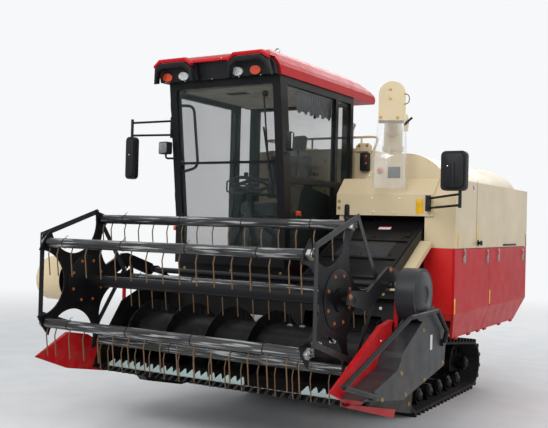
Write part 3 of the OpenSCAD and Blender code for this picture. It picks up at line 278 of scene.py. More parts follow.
STEEL = bare_metal("plain_steel", (0.46, 0.45, 0.44), "steel", 0.38)
CHROME = bare_metal("plated_steel", 0.66, "steel", 0.18)
PALE_STEEL = bare_metal("cast_steel", (0.38, 0.37, 0.36), "steel", 0.55)
ZINC = bare_metal("yellow_zinc", (0.5, 0.34, 0.12), "steel", 0.35)
MIRROR = bare_metal("mirror_glass", (0.6, 0.62, 0.65), "glass", 0.03)
RUBBER = track_rubber("track_rubber_worn")
PLASTIC = moulded("black_plastic", (0.008, 0.008, 0.009), 0.5, 220.0, 0.25)
LABEL_YELLOW = moulded("yellow_label", (0.85, 0.48, 0.01), 0.4, 60.0, 0.3)
LABEL_WHITE = moulded("white_label", 0.62, 0.4, 60.0, 0.3)
LINING = woven("roof_lining", (0.45, 0.38, 0.28), 140.0)
CLOTH = woven("seat_weave", (0.02, 0.02, 0.023), 90.0)
CURTAIN = woven("sun_curtain", (0.16, 0.17, 0.19), 140.0)
WINDOW = clear("window_glass", GLASS, "glass", 0.01, 0.2, 0.002, 1.5)
FILM = clear("curtain_film", (0.78, 0.8, 0.8), "film", 0.06, 0.27, 1.0, 7.0)
LENS_AMBER = lit_lens("amber_lens", ORANGE)
LENS_DIM = lit_lens("work_lens", 0.22)
LENS_RED = lit_lens("red_lens", (0.42, 0.01, 0.01))
ROOF_LENSES = lit_lens("roof_lenses", LENS, (ORANGE, "X", AMBER_FROM, LAMPS_MIDDLE_X))

NODES_IN = {
    PAINT_BLACK: "chassis_frame rollers engine_cover cab_frame side_steps feeder_house header_frame guard_rail "
                 "feed_auger reel_core",
    PAINT_CREAM: "thresher_cover front_cover straw_hood grain_tank unload_riser unload_tube feeder_guard",
    PAINT_RED: "side_door_front side_door_rear cab_roof dividers lift_barrel reel_barrels",
    PAINT_CHARCOAL: "drive_axle engine_block drive_cover reel_rings",
    PLASTIC: "fuel_tank roof_visor console mirrors",
    STEEL: "side_drives knife", CHROME: "lift_rod reel_rods", RUBBER: "track_left track_right",
    BODY_TWO: "thresher_body", ARMS_TWO: "reel_arms", KNIFE_TWO: "cutter_bar", DOOR_TWO: "cab_door",
    WINDOW: "cab_glass", FILM: "chute_film", ROOF_LENSES: "roof_lamps", CLOTH: "seat",
}
for number, (_, bat_z) in enumerate(BAT_REST, 1):
    NODES_IN[wrapped_bat("bat_%d_wrap" % number, bat_z - TINES_UNDER)] = "bat_%d" % number
for look, names in NODES_IN.items():
    for name in names.split():
        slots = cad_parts[name].data.materials
        slots.clear()
        slots.append(look.mat)


# Places and shapes: each shape stands on Z = 0, faces up and is set out by matrices

def facing(place, out, turn=0.0, on=STILL):
    """A place with Z out of its surface, X level and Y as near up as it goes"""
    out = Vector(out).normalized()
    lean = REAR if abs(out.z) > 0.9 else UP
    level = lean.cross(out).normalized()
    frame_at = Matrix((level, out.cross(level), out)).transposed().to_4x4()
    return on @ Matrix.Translation(place) @ frame_at @ Matrix.Rotation(turn, 4, "Z")


def spots(out, depth, *others, on=STILL):
    """Places that look one way from one plane; others give their two remaining coordinates"""
    axis = next(i for i in range(3) if out[i])
    return [facing((*pair[:axis], depth, *pair[axis:]), out, 0.0, on) for pair in others]


def both(x, *others, out=LEFT, on=STILL):
    """The same places on both sides of the machine, facing outwards or, with out=RIGHT, inwards"""
    return spots(out, x, *others, on=on) + spots(-out, -x, *others, on=on)


def moved(x, y, z=0.0):
    return Matrix.Translation((x, y, z))


def row(start, step, count):
    return [start + step * i for i in range(count)]


def circle(radius, count, shift=0.0):
    """Points spread round a circle"""
    turns = [math.tau * (i + shift) / count for i in range(count)]
    return [(radius * math.cos(a), radius * math.sin(a)) for a in turns]


def mirrored(*half):
    """Half an outline and its mirror image"""
    return [*half, *((-x, y) for x, y in reversed(half))]


def grid(across, along=1, size=0.5):
    bm = bmesh.new()
    bmesh.ops.create_grid(bm, x_segments=across, y_segments=along, size=size)
    return bm


def rounded(bm, geom, offset, segments=2, affect="EDGES"):
    bmesh.ops.bevel(bm, geom=geom, offset=offset, segments=segments, profile=0.5, affect=affect, material=-1)


def thicken(bm, thick, soft):
    """A flat face raised to a plate, its upper rim softened"""
    made = bmesh.ops.extrude_face_region(bm, geom=bm.faces[:], use_keep_orig=True)["geom"]
    top = [v for v in made if isinstance(v, bmesh.types.BMVert)]
    bmesh.ops.translate(bm, vec=(0, 0, thick), verts=top)
    if soft:
        rounded(bm, [e for e in made if isinstance(e, bmesh.types.BMEdge)], soft)
    return bm


def plate(width, height, thick, corner=0.0, soft=0.001):
    bm = grid(1)
    bmesh.ops.scale(bm, vec=(width, height, 1.0), verts=bm.verts)
    if corner:
        rounded(bm, bm.verts[:], corner, 4, "VERTICES")
    return thicken(bm, thick, soft)


def label(width, height, corner=0.003, thick=0.0012):
    return plate(width, height, thick, corner, 0.0004)


def cut_plate(outline, thick, soft=0.001):
    bm = bmesh.new()
    bm.faces.new([bm.verts.new((x, y, 0.0)) for x, y in outline])
    return thicken(bm, thick, soft)


def spun(bm, geom, sides):
    bmesh.ops.spin(bm, geom=geom, cent=(0, 0, 0), axis=(0, 0, 1), angle=math.tau, steps=sides, use_merge=True)
    return bm


def turned(*outline, sides=24):
    """Lathe shape: (radius, height) points spun about Z"""
    bm = bmesh.new()
    points = [bm.verts.new((r, 0.0, z)) for r, z in outline]
    spun(bm, points + [bm.edges.new(pair) for pair in zip(points, points[1:])], sides)
    bmesh.ops.remove_doubles(bm, verts=bm.verts[:], dist=0.00001)
    return bm


def ring(radius, wire, sides):
    """Round wire bent to a circle"""
    bm = bmesh.new()
    upright = Matrix.Translation((radius, 0, 0)) @ Matrix.Rotation(math.pi / 2, 4, "X")
    bmesh.ops.create_circle(bm, segments=10, radius=wire, matrix=upright)
    return spun(bm, bm.verts[:] + bm.edges[:], sides)


def bolt(radius):
    """Hexagon head on its washer"""
    bm = turned((0, 0), (radius * 1.8, 0), (radius * 1.7, radius * 0.3), (0, radius * 0.3), sides=12)
    bmesh.ops.create_cone(bm, cap_ends=True, segments=6, radius1=radius, radius2=radius * 0.95,
                          depth=radius * 0.8, matrix=moved(0, 0, radius * 0.7))
    return bm


def screw(radius):
    """Domed screw head"""
    return turned((0, 0), (radius, 0), (radius * 0.9, radius * 0.35), (radius * 0.5, radius * 0.55),
                  (0, radius * 0.6), sides=12)


def bent(points, radius, steps=4):
    """A line with its inner corners rounded"""
    points = [Vector(point) for point in points]
    line = [points[0]]
    for before, corner, after in zip(points, points[1:], points[2:]):
        start, end = (corner + (far - corner).normalized() * min(radius, (far - corner).length * 0.45)
                      for far in (before, after))
        for step in range(steps + 1):
            t = step / steps
            line.append(start.lerp(corner, t).lerp(corner.lerp(end, t), t))
    return line + [points[-1]]


def pipe(points, radius, sides=10):
    """Round bar or tube along a line, closed at both ends"""
    bm = bmesh.new()
    points = [Vector(point) for point in points]
    ahead = (points[1] - points[0]).normalized()
    turn = ahead.to_track_quat("Z", "Y")
    loops = []
    for before, point, after in zip(points[:1] + points, points, points[1:] + points[-1:]):
        now = (after - before).normalized()
        turn = ahead.rotation_difference(now) @ turn
        ahead = now
        at = Matrix.Translation(point) @ turn.to_matrix().to_4x4()
        verts = bmesh.ops.create_circle(bm, segments=sides, radius=radius, matrix=at)["verts"]
        loops.append(list({e for v in verts for e in v.link_edges}))
    for first, second in zip(loops, loops[1:]):
        bmesh.ops.bridge_loops(bm, edges=first + second)
    for loop in (loops[0], loops[-1]):
        bmesh.ops.contextual_create(bm, geom=loop)
    return bm


def joined(*parts):
    """Copies of shapes in one mesh; a part is a shape and its places, or a shape that stays where it is"""
    bm = bmesh.new()
    for part in parts:
        shape, places = part if isinstance(part, tuple) else (part, [STILL])
        bmesh.ops.recalc_face_normals(shape, faces=shape.faces[:])
        mesh = bpy.data.meshes.new("shape")
        shape.to_mesh(mesh)
        shape.free()
        for place in places:
            first = len(bm.verts)
            bm.from_mesh(mesh)
            bm.verts.ensure_lookup_table()
            bmesh.ops.transform(bm, matrix=place, verts=bm.verts[first:])
        bpy.data.meshes.remove(mesh)
    return bm


def placed(name, data):
    """A new object in the scene"""
    obj = bpy.data.objects.new(name, data)
    bpy.context.collection.objects.link(obj)
    return obj


def formed(name, look, bm):
    """A new object from a shape, in a finish"""
    mesh = bpy.data.meshes.new(name)
    bm.to_mesh(mesh)
    bm.free()
    mesh.materials.append(look.mat)
    return placed(name, mesh)


def piece(name, look, *parts, body="chassis", sharp=35.0):
    """One object of set-out shapes, finished and riding on a body"""
    obj = formed(name, look, joined(*parts))
    obj.data.shade_smooth()
    obj.data.set_sharp_from_angle(angle=math.radians(sharp))
    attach(obj, body)
    return obj


def fit(body, *rows):
    """Pieces of one shape each on one body; rows are name, finish, shape and places"""
    for name, look, shape, places in rows:
        piece(name, look, (shape, places), body=body)


def latch():
    """Over-centre latch: base, lever and wire hook"""
    hook = bent([(-0.009, 0, 0.012), (-0.009, 0.052, 0.012), (0.009, 0.052, 0.012), (0.009, 0, 0.012)], 0.006)
    return joined(
        (plate(0.03, 0.05, 0.003, 0.004), [moved(0, -0.025)]),
        (plate(0.022, 0.062, 0.011, 0.008, 0.004), [moved(0, -0.02, 0.003)]),
        (plate(0.024, 0.02, 0.012, 0.003), [moved(0, 0.052)]),
        pipe(hook, 0.003, 8),
        (screw(0.004), [moved(0, -0.044, 0.003), moved(0, 0.066, 0.002)]))


def handle(length, height, radius):
    """Bow handle on two round feet"""
    half = length / 2
    bow = bent([(-half, 0, 0), (-half, 0, height), (half, 0, height), (half, 0, 0)], height * 0.6)
    foot = turned((0, 0), (radius * 2.2, 0), (radius * 2.0, 0.004), (0, 0.004), sides=16)
    return joined(pipe(bow, radius), (foot, [moved(-half, 0), moved(half, 0)]))


def lamp_shell(width, height, depth, corner):
    """Lamp housing with a raised rim round its lens"""
    return joined(plate(width, height, depth, corner, depth * 0.15),
                  (plate(width * 0.96, height * 0.96, 0.004, corner * 0.9), [moved(0, 0, depth)]))


# Body sides and covers

SIDE_X, COVER_Y, DOME_Y = 1.155, -0.255, -0.11


def on_side(*others):
    return spots(LEFT, SIDE_X, *others)


def on_cover(*others):
    return spots(FRONT, COVER_Y, *others)


def body_fittings():
    piece("front_hatch_latches", STEEL, (latch(), on_side((-0.018, 1.31), (0.598, 1.3))), body="hatch_front")
    piece("rear_hatch_latches", STEEL, (latch(), on_side((0.928, 1.3), (1.749, 1.29))), body="hatch_rear")
    piece("side_labels", LABEL_YELLOW,
        (label(0.03, 0.12), on_side((-0.17, 1.45), (0.305, 1.5), (-0.215, 0.93))),
        (label(0.061, 0.118, 0.005), on_cover((0.8645, 1.703))))
    piece("hatch_label", LABEL_YELLOW, (label(0.03, 0.12), on_side((0.7, 0.95))), body="hatch_rear")
    piece("side_reflectors", LENS_RED,
        (plate(0.022, 0.12, 0.004, 0.004, 0.0015), on_side((1.878, 1.435))),
        (plate(0.045, 0.03, 0.003, 0.003), on_side((0.205, 1.875))))
    piece("side_reflector_white", LABEL_WHITE, (plate(0.045, 0.026, 0.003, 0.003), on_side((0.205, 1.845))))
    round_pull = turned((0, 0), (0.026, 0), (0.026, 0.004), (0.012, 0.006), (0.012, 0.018), (0.022, 0.024),
                        (0.02, 0.034), (0, 0.036))
    piece("side_black_fittings", PLASTIC,
        (round_pull, on_side((0.338, 1.42))),
        (plate(0.44, 0.018, 0.003, 0.008), on_side((1.3, 1.397))),
        (plate(0.004, 0.56, 0.0012), on_side((0.29, 1.655))),
        (plate(0.046, 0.117, 0.006, 0.022, 0.002), on_cover((0.229, 1.658))),
        (plate(0.022, 0.085, 0.01, 0.01, 0.003), on_cover((0.229, 1.658))))
    knob = turned((0, 0), (0.01, 0), (0.01, 0.012), (0.022, 0.018), (0.024, 0.028), (0.016, 0.038), (0, 0.041))
    piece("dome_knob", PAINT_RED, (knob, spots(FRONT, DOME_Y, (0.462, 1.999))))
    piece("dome_window", PAINT_CHARCOAL,
        (plate(0.109, 0.092, 0.006, 0.008, 0.002), spots(FRONT, DOME_Y, (0.5785, 1.985))),
        (plate(0.085, 0.068, 0.003, 0.006), spots(FRONT, DOME_Y - 0.006, (0.5785, 1.985))))
    piece("cover_zinc_bolts", ZINC, (bolt(0.008), on_cover((0.154, 1.686), (0.154, 1.74))))
    heads = on_cover((0.448, 1.764), (0.695, 1.763), (0.47, 1.655), (0.64, 1.652), (0.955, 1.69))
    heads += on_side((-0.06, 1.4), (0.62, 1.4), (1.24, 1.4), (1.86, 1.4))
    heads += spots(FRONT, DOME_Y, (0.36, 1.96), (0.99, 1.96), (0.46, 2.06), (0.89, 2.06))
    piece("cover_screws", CHROME, (screw(0.0065), heads))


# Straw hood and the body's back

BACK_Y = 2.5487
HOOD_TOP_Y, HOOD_TOP_Z, HOOD_RUN, HOOD_FALL = 2.23, 1.75, 0.3187, 0.4


def on_hood(*others):
    """Places on the hood's slope; others are X and the share of the way down"""
    return [facing((x, HOOD_TOP_Y + HOOD_RUN * t, HOOD_TOP_Z - HOOD_FALL * t), (0, HOOD_FALL, HOOD_RUN))
            for x, t in others]


def rear_fittings():
    for name, look, high, z in (("red", LENS_RED, 0.11, 1.27), ("amber", LENS_AMBER, 0.07, 1.172)):
        lamps = spots(REAR, BACK_Y, (0.255, z), (0.91, z))
        piece("rear_lamps_" + name, look, (lamp_shell(0.07, high, 0.022, 0.012), lamps))
    blank = spots(REAR, BACK_Y, (0.5825, 1.21))
    piece("rear_blank_plate", LABEL_WHITE, (plate(0.3, 0.16, 0.003, 0.01), blank))
    piece("hood_handles", PAINT_BLACK, (handle(0.16, 0.035, 0.007), on_hood((0.33, 0.62), (0.835, 0.62))))
    heads = on_hood(*product((0.215, 0.46, 0.705, 0.95), (0.1, 0.92)))
    cheek = ((1.94, 1.08), (1.94, 1.4), (1.94, 1.72), (2.5, 1.06))
    heads += spots(RIGHT, 0.19, *cheek) + spots(LEFT, 0.975, *cheek)
    piece("hood_screws", CHROME, (screw(0.0075), heads))


# Riser, spout and its curtain

RISER_X, RISER_Y, RISER_TOP_Z = -0.292, 1.88, 2.408
SPOUT_OUT, SPOUT_SIDE = Vector((0.3895, -0.921, 0.0)), Vector((0.921, 0.3895, 0.0))
SPOUT_AT, SPOUT_EDGE = Vector((0.63, -0.3, 0.0)), Vector((0.722, -0.262, 0.0))
FILM_TOP, FILM_FOOT = 2.404, 1.845
FILM_CORNERS = ((-0.108, -0.1), (-0.112, 0.012), (0.112, 0.012), (0.108, -0.1))
FILM_HALF, FILM_CENTRE = 0.112, (0.0, -0.045)


def unload_fittings():
    rim = [moved(RISER_X + x, RISER_Y + y, RISER_TOP_Z) for x, y in circle(0.1095, 10, 0.5)]
    piece("riser_bolts", ZINC, (bolt(0.0038), rim))
    heads = ((0.615, -0.3065, 2.639), (0.615, -0.3065, 2.566), (0.548, -0.335, 2.412), (0.673, -0.282, 2.412))
    bracket = cut_plate([(-0.004, 0.07), (0.022, 0.07), (0.04, 0.02), (0.03, -0.065), (-0.004, -0.065)], 0.005)
    arm = bent([SPOUT_EDGE + UP * 2.35] + [SPOUT_EDGE + SPOUT_SIDE * side + SPOUT_OUT * 0.012 + UP * z
                                           for side, z in ((0.02, 2.375), (0.062, 2.412))], 0.01)
    fit("unloader",
        ("spout_bolts", ZINC, bolt(0.0075), [facing(head, SPOUT_OUT) for head in heads]),
        ("spout_bracket", PAINT_CREAM, bracket, [facing(SPOUT_EDGE + UP * 2.368, SPOUT_OUT)]),
        ("spout_lever", PLASTIC, pipe(arm, 0.009), [STILL]))


def spout_film():
    """Clear curtain hung round the spout's mouth, wavier and wider towards its foot"""
    bm = grid(72, 22)
    sides = [(a, b, math.dist(a, b)) for a, b in zip(FILM_CORNERS, FILM_CORNERS[1:])]
    width, drop = sum(length for _, _, length in sides), FILM_TOP - FILM_FOOT
    for vert in bm.verts:
        fall = 0.5 - vert.co.y
        along = (vert.co.x + 0.5) * width
        for start, end, length in sides:
            if along <= length + 1e-6:
                break
            along -= length
        u, v = (a + (b - a) * along / length - c for a, b, c in zip(start, end, FILM_CENTRE))
        phase = (vert.co.x + 0.5) * math.tau
        swell = 0.012 * fall * math.sin(phase * 3 + 0.7) + 0.006 * fall * math.sin(phase * 8 + fall * 5.0)
        crease = 0.004 * math.sin(phase * 5 + fall * 9.0) * min(1.0, fall * 4)
        flare = (0.3 if u < 0 else 0.06) * fall * abs(u) / FILM_HALF
        grow = 1.0 + (swell + crease) / math.hypot(u, v) + flare
        out = SPOUT_SIDE * (u * grow + FILM_CENTRE[0]) + SPOUT_OUT * (v * grow + FILM_CENTRE[1])
        vert.co = SPOUT_AT + out + UP * (FILM_TOP - fall * drop)
    obj = piece("spout_curtain", FILM, bm, body="unloader", sharp=180.0)
    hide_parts("chute_film")


def spout_cable():
    """Short black cable looped out of the spout's side and back in"""
    loop = [Vector(point) for point in (
        (0.718, -0.265, 2.602), (0.73, -0.26, 2.603), (0.744, -0.254, 2.596), (0.753, -0.25, 2.582),
        (0.756, -0.249, 2.562), (0.753, -0.25, 2.542), (0.744, -0.254, 2.528), (0.73, -0.26, 2.521),
        (0.718, -0.265, 2.522))]
    obj = piece("spout_cable", PLASTIC, pipe(loop, 0.0035, 12), body="unloader")


# Cab: outside

SCREEN_FOOT, SCREEN_TOP = (-0.82, 1.56), (-0.955, 2.7)
SCREEN_OUT = Vector((0, -1.14, -0.135)).normalized()
CAB_LEFT_X, CAB_RIGHT_X = -0.03, -1.12
SEAT_X, EYE_X, EYE_Y, ROOF_Z = -0.575, -0.357, -0.47, 2.94


def on_screen(x, z, off):
    """A point off the front screen's outer face"""
    share = (z - SCREEN_FOOT[1]) / (SCREEN_TOP[1] - SCREEN_FOOT[1])
    return Vector((x, SCREEN_FOOT[0] + (SCREEN_TOP[0] - SCREEN_FOOT[0]) * share - off, z))


def wiper():
    top, foot = on_screen(-0.172, 2.56, 0.006), on_screen(-0.15, 1.96, 0.018)
    blade_top, blade_foot = on_screen(-0.191, 2.3, 0.01), on_screen(-0.119, 1.777, 0.01)
    spine = [blade_top + SCREEN_OUT * 0.009, (blade_top + blade_foot) / 2 + SCREEN_OUT * 0.018,
             blade_foot + SCREEN_OUT * 0.009]
    piece("wiper", PLASTIC,
        (turned((0, 0), (0.024, 0), (0.024, 0.012), (0.012, 0.024), (0, 0.026)),
         [facing(top + REAR * 0.008, SCREEN_OUT)]),
        pipe([top + SCREEN_OUT * 0.016, foot + SCREEN_OUT * 0.01], 0.007),
        pipe([blade_top, blade_foot], 0.006), pipe(spine, 0.004))


def cab_lamps():
    lamp_at = facing((-1.163, -0.905, 2.157), (-0.1, -1.0, 0.0))
    arm = bent([(-1.09, -0.874, 2.075), (-1.1, -0.905, 2.07), (-1.163, -0.925, 2.07), (-1.163, -0.93, 2.11)], 0.02)
    piece("work_lamp_shell", PLASTIC, (plate(0.105, 0.105, 0.06, 0.016, 0.006), [lamp_at]), pipe(arm, 0.009))
    piece("work_lamp_lens", LENS_DIM, (plate(0.088, 0.088, 0.006, 0.012, 0.002), [lamp_at @ moved(0, 0, 0.06)]))
    horn_at = facing(on_screen(-0.01, 2.185, -0.02), (0.35, -1.0, 0.0))
    piece("pillar_lamp_shell", PLASTIC,
        (plate(0.06, 0.145, 0.045, 0.014, 0.006), [horn_at @ moved(0.034, 0)]),
        (plate(0.04, 0.02, 0.03, 0.004), [horn_at @ moved(0, -0.085)]))
    piece("pillar_lamp_edge", LABEL_WHITE,
        (plate(0.008, 0.118, 0.004, 0.003, 0.001), [horn_at @ moved(0.056, 0, 0.044)]))
    piece("cab_indicators", LENS_AMBER,
        (lamp_shell(0.055, 0.04, 0.018, 0.008),
         spots(LEFT, CAB_LEFT_X, (-0.632, 1.625)) + spots(RIGHT, CAB_RIGHT_X, (-0.8, 1.48))))


def cab_outside():
    leaf = spots(RIGHT, -1.138, *((y + along, z) for y, z in ((-0.8075, 1.75), (-0.8975, 2.51))
                                  for along in (0.03, 0.07)))
    piece("door_hinge_bolts", STEEL, (bolt(0.006), leaf), body="door")
    at_rim = facing((-1.125, -0.003, 1.88), RIGHT, math.pi / 2)
    piece("door_handle", PLASTIC, (plate(0.15, 0.038, 0.006, 0.008, 0.002), [at_rim]),
        (handle(0.1, 0.036, 0.008), [at_rim @ moved(0, 0, 0.006)]), body="door")
    piece("window_slide_handle", PLASTIC,
        (plate(0.075, 0.03, 0.012, 0.006, 0.003), spots(LEFT, CAB_LEFT_X, (-0.35, 1.965))),
        (turned((0, 0), (0.016, 0), (0.016, 0.012), (0, 0.016)), spots(LEFT, CAB_LEFT_X, (-0.39, 2.437))))
    heads = spots(FRONT, -1.07, (-0.874, 2.845), (-0.512, 2.845), (-0.2, 2.845))
    piece("roof_screws", STEEL, (screw(0.006), heads))
    eye_at = [moved(EYE_X, EYE_Y, ROOF_Z)]
    boss = turned((0, -0.01), (0.06, -0.01), (0.052, 0.016), (0.038, 0.026), (0, 0.028), sides=32)
    piece("lifting_boss", PAINT_RED, (boss, eye_at))
    collar = turned((0, 0.026), (0.026, 0.026), (0.026, 0.032), (0.01, 0.038), (0, 0.038), sides=28)
    piece("lifting_eye", STEEL, (collar, eye_at), (ring(0.022, 0.006, 28), spots(FRONT, EYE_Y, (EYE_X, 3.0))))
    piece("roof_lining", LINING, (plate(0.98, 1.05, 0.018, 0.03, 0.006), spots(DOWN, 2.655, (SEAT_X, -0.29))))
    slots = spots(DOWN, 2.637, *product(row(-0.74, 0.022, 9), (-0.62,)))
    piece("roof_vents", PLASTIC, (plate(0.012, 0.1, 0.004, 0.004), slots))
    rail = bent([(-1.06, -0.88, 2.52), (-0.96, -0.82, 2.52), (-0.93, -0.78, 2.0), (-1.06, -0.825, 1.96)], 0.06)
    piece("door_grab_rail", PLASTIC, pipe(rail, 0.012))


POD_X = (-0.96, -0.225)
VISOR_FACE, VISOR_OUT = Vector((0.0, -1.08, 2.733)), Vector((0.0, -1.0, -0.2))
BROW = [*mirrored((-0.203, -0.055), (-0.18, 0.066), (-0.12, 0.108)),
        *mirrored((0.176, -0.055), (0.152, 0.038), (0.105, 0.066))]
CREST = [*mirrored((-0.186, 0.07), (-0.124, 0.112)), *mirrored((0.196, 0.092), (0.13, 0.14))]


def visor_brows():
    """Hooded brows over the roof lamps with the roof's red lip above them"""
    pods = [facing(VISOR_FACE + LEFT * x, VISOR_OUT) for x in POD_X]
    piece("visor_brows", PLASTIC, (cut_plate(BROW, 0.045, 0.008), pods), sharp=50.0)
    piece("visor_crests", PAINT_RED, (cut_plate(CREST, 0.04, 0.008), pods), sharp=50.0)
    feet = [facing(VISOR_FACE + Vector((x, 0, -0.052)), VISOR_OUT) for x in (-1.06, -0.86, -0.59, -0.33, -0.13)]
    piece("visor_screws", STEEL, (screw(0.005), feet))


MIRROR_LEFT, MIRROR_RIGHT = (1.285, 1.9515), (-1.33, 2.056)


def mirror_faces():
    piece("mirror_glass", MIRROR,
        (plate(0.15, 0.245, 0.003, 0.025, 0.001), spots(REAR, -0.64, MIRROR_LEFT)),
        (plate(0.072, 0.31, 0.003, 0.02, 0.001), spots(REAR, -1.14, MIRROR_RIGHT)))
    piece("mirror_shells", PLASTIC,
        (plate(0.16, 0.255, 0.016, 0.04, 0.012), spots(FRONT, -0.69, MIRROR_LEFT)),
        (plate(0.03, 0.19, 0.026, 0.012, 0.008), spots(FRONT, -0.69, (1.285, 1.92))),
        (plate(0.076, 0.32, 0.014, 0.026, 0.01), spots(FRONT, -1.19, MIRROR_RIGHT)))
    piece("mirror_screws", CHROME,
        (screw(0.006), spots(FRONT, -0.706, (1.245, 1.985)) + spots(FRONT, -1.204, (-1.33, 2.08))))


# Cab: inside

SEAT_LEAN = Matrix.Rotation(math.pi / 2 - math.radians(10), 4, "X")
PAD_STEPS, SEAM_HALF, SEAM_DEEP = 20, 0.012, 0.012


def cab_inside():
    wheel = moved(SEAT_X, -0.48, 1.855) @ Matrix.Rotation(math.radians(22), 4, "X")
    piece("wheel_grip", PLASTIC, (ring(0.175, 0.0155, 48), [wheel]),
        (turned((0, -0.02), (0.045, -0.02), (0.052, 0), (0.04, 0.022), (0, 0.026)), [wheel]),
        (turned((0, 0), (0.013, 0), (0.013, 0.045), (0.022, 0.06), (0.016, 0.078), (0, 0.082)),
         [wheel @ moved(-0.11, 0.11, 0.01)]))
    spokes = [[Vector((r * math.cos(a), r * math.sin(a), 0)) for r in (0.03, 0.172)]
              for a in map(math.radians, (90, 210, 330))]
    piece("wheel_spokes", PAINT_CHARCOAL, *((pipe(spoke, 0.01), [wheel]) for spoke in spokes))
    lever = turned((0, 0), (0.009, 0), (0.008, 0.07), (0.022, 0.085), (0.026, 0.115), (0.018, 0.14), (0, 0.146))
    piece("console_levers", PLASTIC, (lever, [moved(-0.205, y, 1.8) for y in (-0.32, -0.21, -0.1)]))
    keys = [moved(x, y, 1.752) for x in (-0.25, -0.215, -0.18) for y in (0.0, 0.05)]
    piece("console_switches", PAINT_CHARCOAL, (plate(0.022, 0.032, 0.01, 0.003, 0.002), keys))


def apply_modifiers(obj):
    """Bake the modifiers into the mesh"""
    graph = bpy.context.evaluated_depsgraph_get()
    mesh = bpy.data.meshes.new_from_object(obj.evaluated_get(graph))
    obj.modifiers.clear()
    obj.data = mesh


def padded_piece(name, size, place, crown, grooves):
    """Foam pad under tight cloth, puffed by a cloth run, with sewn channels pressed in after"""
    shape = bmesh.new()
    bmesh.ops.create_cube(shape, size=1.0)
    bmesh.ops.scale(shape, vec=size, verts=shape.verts)
    rounded(shape, shape.edges[:], min(size) * 0.28, 3)
    obj = piece(name, CLOTH, shape, sharp=180.0)
    remesh = obj.modifiers.new("remesh", "REMESH")
    remesh.mode, remesh.voxel_size = "VOXEL", 0.01
    apply_modifiers(obj)
    cloth = obj.modifiers.new("cloth", "CLOTH")
    cloth.settings.use_pressure = True
    cloth.settings.uniform_pressure_force = 4.0
    cloth.settings.effector_weights.gravity = 0.0
    rest = [v.co.copy() for v in obj.data.vertices]
    for number in range(1, PAD_STEPS + 1):
        bpy.context.scene.frame_set(number)
    apply_modifiers(obj)
    bpy.context.scene.frame_set(1)
    for vert, start in zip(obj.data.vertices, rest):
        gone = vert.co - start
        if gone.length > crown:
            vert.co = start + gone.normalized() * crown
    for vert in obj.data.vertices:
        dent = max([math.exp(-((vert.co.x - seam) / SEAM_HALF) ** 2) for seam in grooves], default=0.0)
        if vert.co.z > 0:
            vert.co.z -= dent * SEAM_DEEP * min(1.0, vert.co.z / (size[2] * 0.3))
    obj.data.transform(place)
    obj.data.shade_smooth()


def seat_pads():
    padded_piece("seat_cushion", (0.47, 0.46, 0.105), moved(SEAT_X, -0.1, 1.665), 0.01, (-0.12, 0.12))
    padded_piece("seat_back", (0.45, 0.42, 0.09), moved(SEAT_X, 0.155, 1.975) @ SEAT_LEAN, 0.01, (-0.11, 0.11))
    padded_piece("seat_headrest", (0.27, 0.14, 0.07), moved(SEAT_X, 0.215, 2.29) @ SEAT_LEAN, 0.008, ())
    post = turned((0, 0), (0.008, 0), (0.008, 0.1), (0, 0.1), sides=12)
    base = piece("seat_base", PLASTIC,
                 (plate(0.42, 0.42, 0.03, 0.03, 0.006), [moved(SEAT_X, -0.08, 1.59)]),
                 (plate(0.36, 0.36, 0.29, 0.04, 0.01), [moved(SEAT_X, -0.06, 1.3)]),
                 (plate(0.44, 0.44, 0.065, 0.03, 0.01), [moved(SEAT_X, -0.06, 1.235)]),
                 (post, [moved(-0.625, 0.215, 2.15), moved(-0.525, 0.215, 2.15)]))
    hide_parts("seat")


CURTAIN_X, CURTAIN_Y, CURTAIN_Z, CURTAIN_LONG, CURTAIN_DROP = -0.105, -0.56, 2.64, 0.62, 0.15


def sun_curtain():
    """Grey scalloped cloth gathered along the top of the left window"""
    bm = grid(96, 10)
    for vert in bm.verts:
        along, fall = vert.co.x + 0.5, 0.5 - vert.co.y
        scallop = 1.0 + 0.22 * abs(math.sin(along * math.pi * 6))
        wave = 0.007 * math.sin(along * math.tau * 15) * (0.35 + 0.65 * fall)
        vert.co = (CURTAIN_X + wave, CURTAIN_Y + along * CURTAIN_LONG, CURTAIN_Z - fall * CURTAIN_DROP * scallop)
    obj = piece("sun_curtain", CURTAIN, bm, sharp=180.0)
    wire = [(CURTAIN_X, -0.6, 2.645), (CURTAIN_X, 0.11, 2.645)]
    piece("curtain_wire", CHROME, pipe(wire, 0.004))


# Tank, engine deck and steps

TANK_Y, TANK_X, RAIL_Z = 0.43, -1.15, 2.355


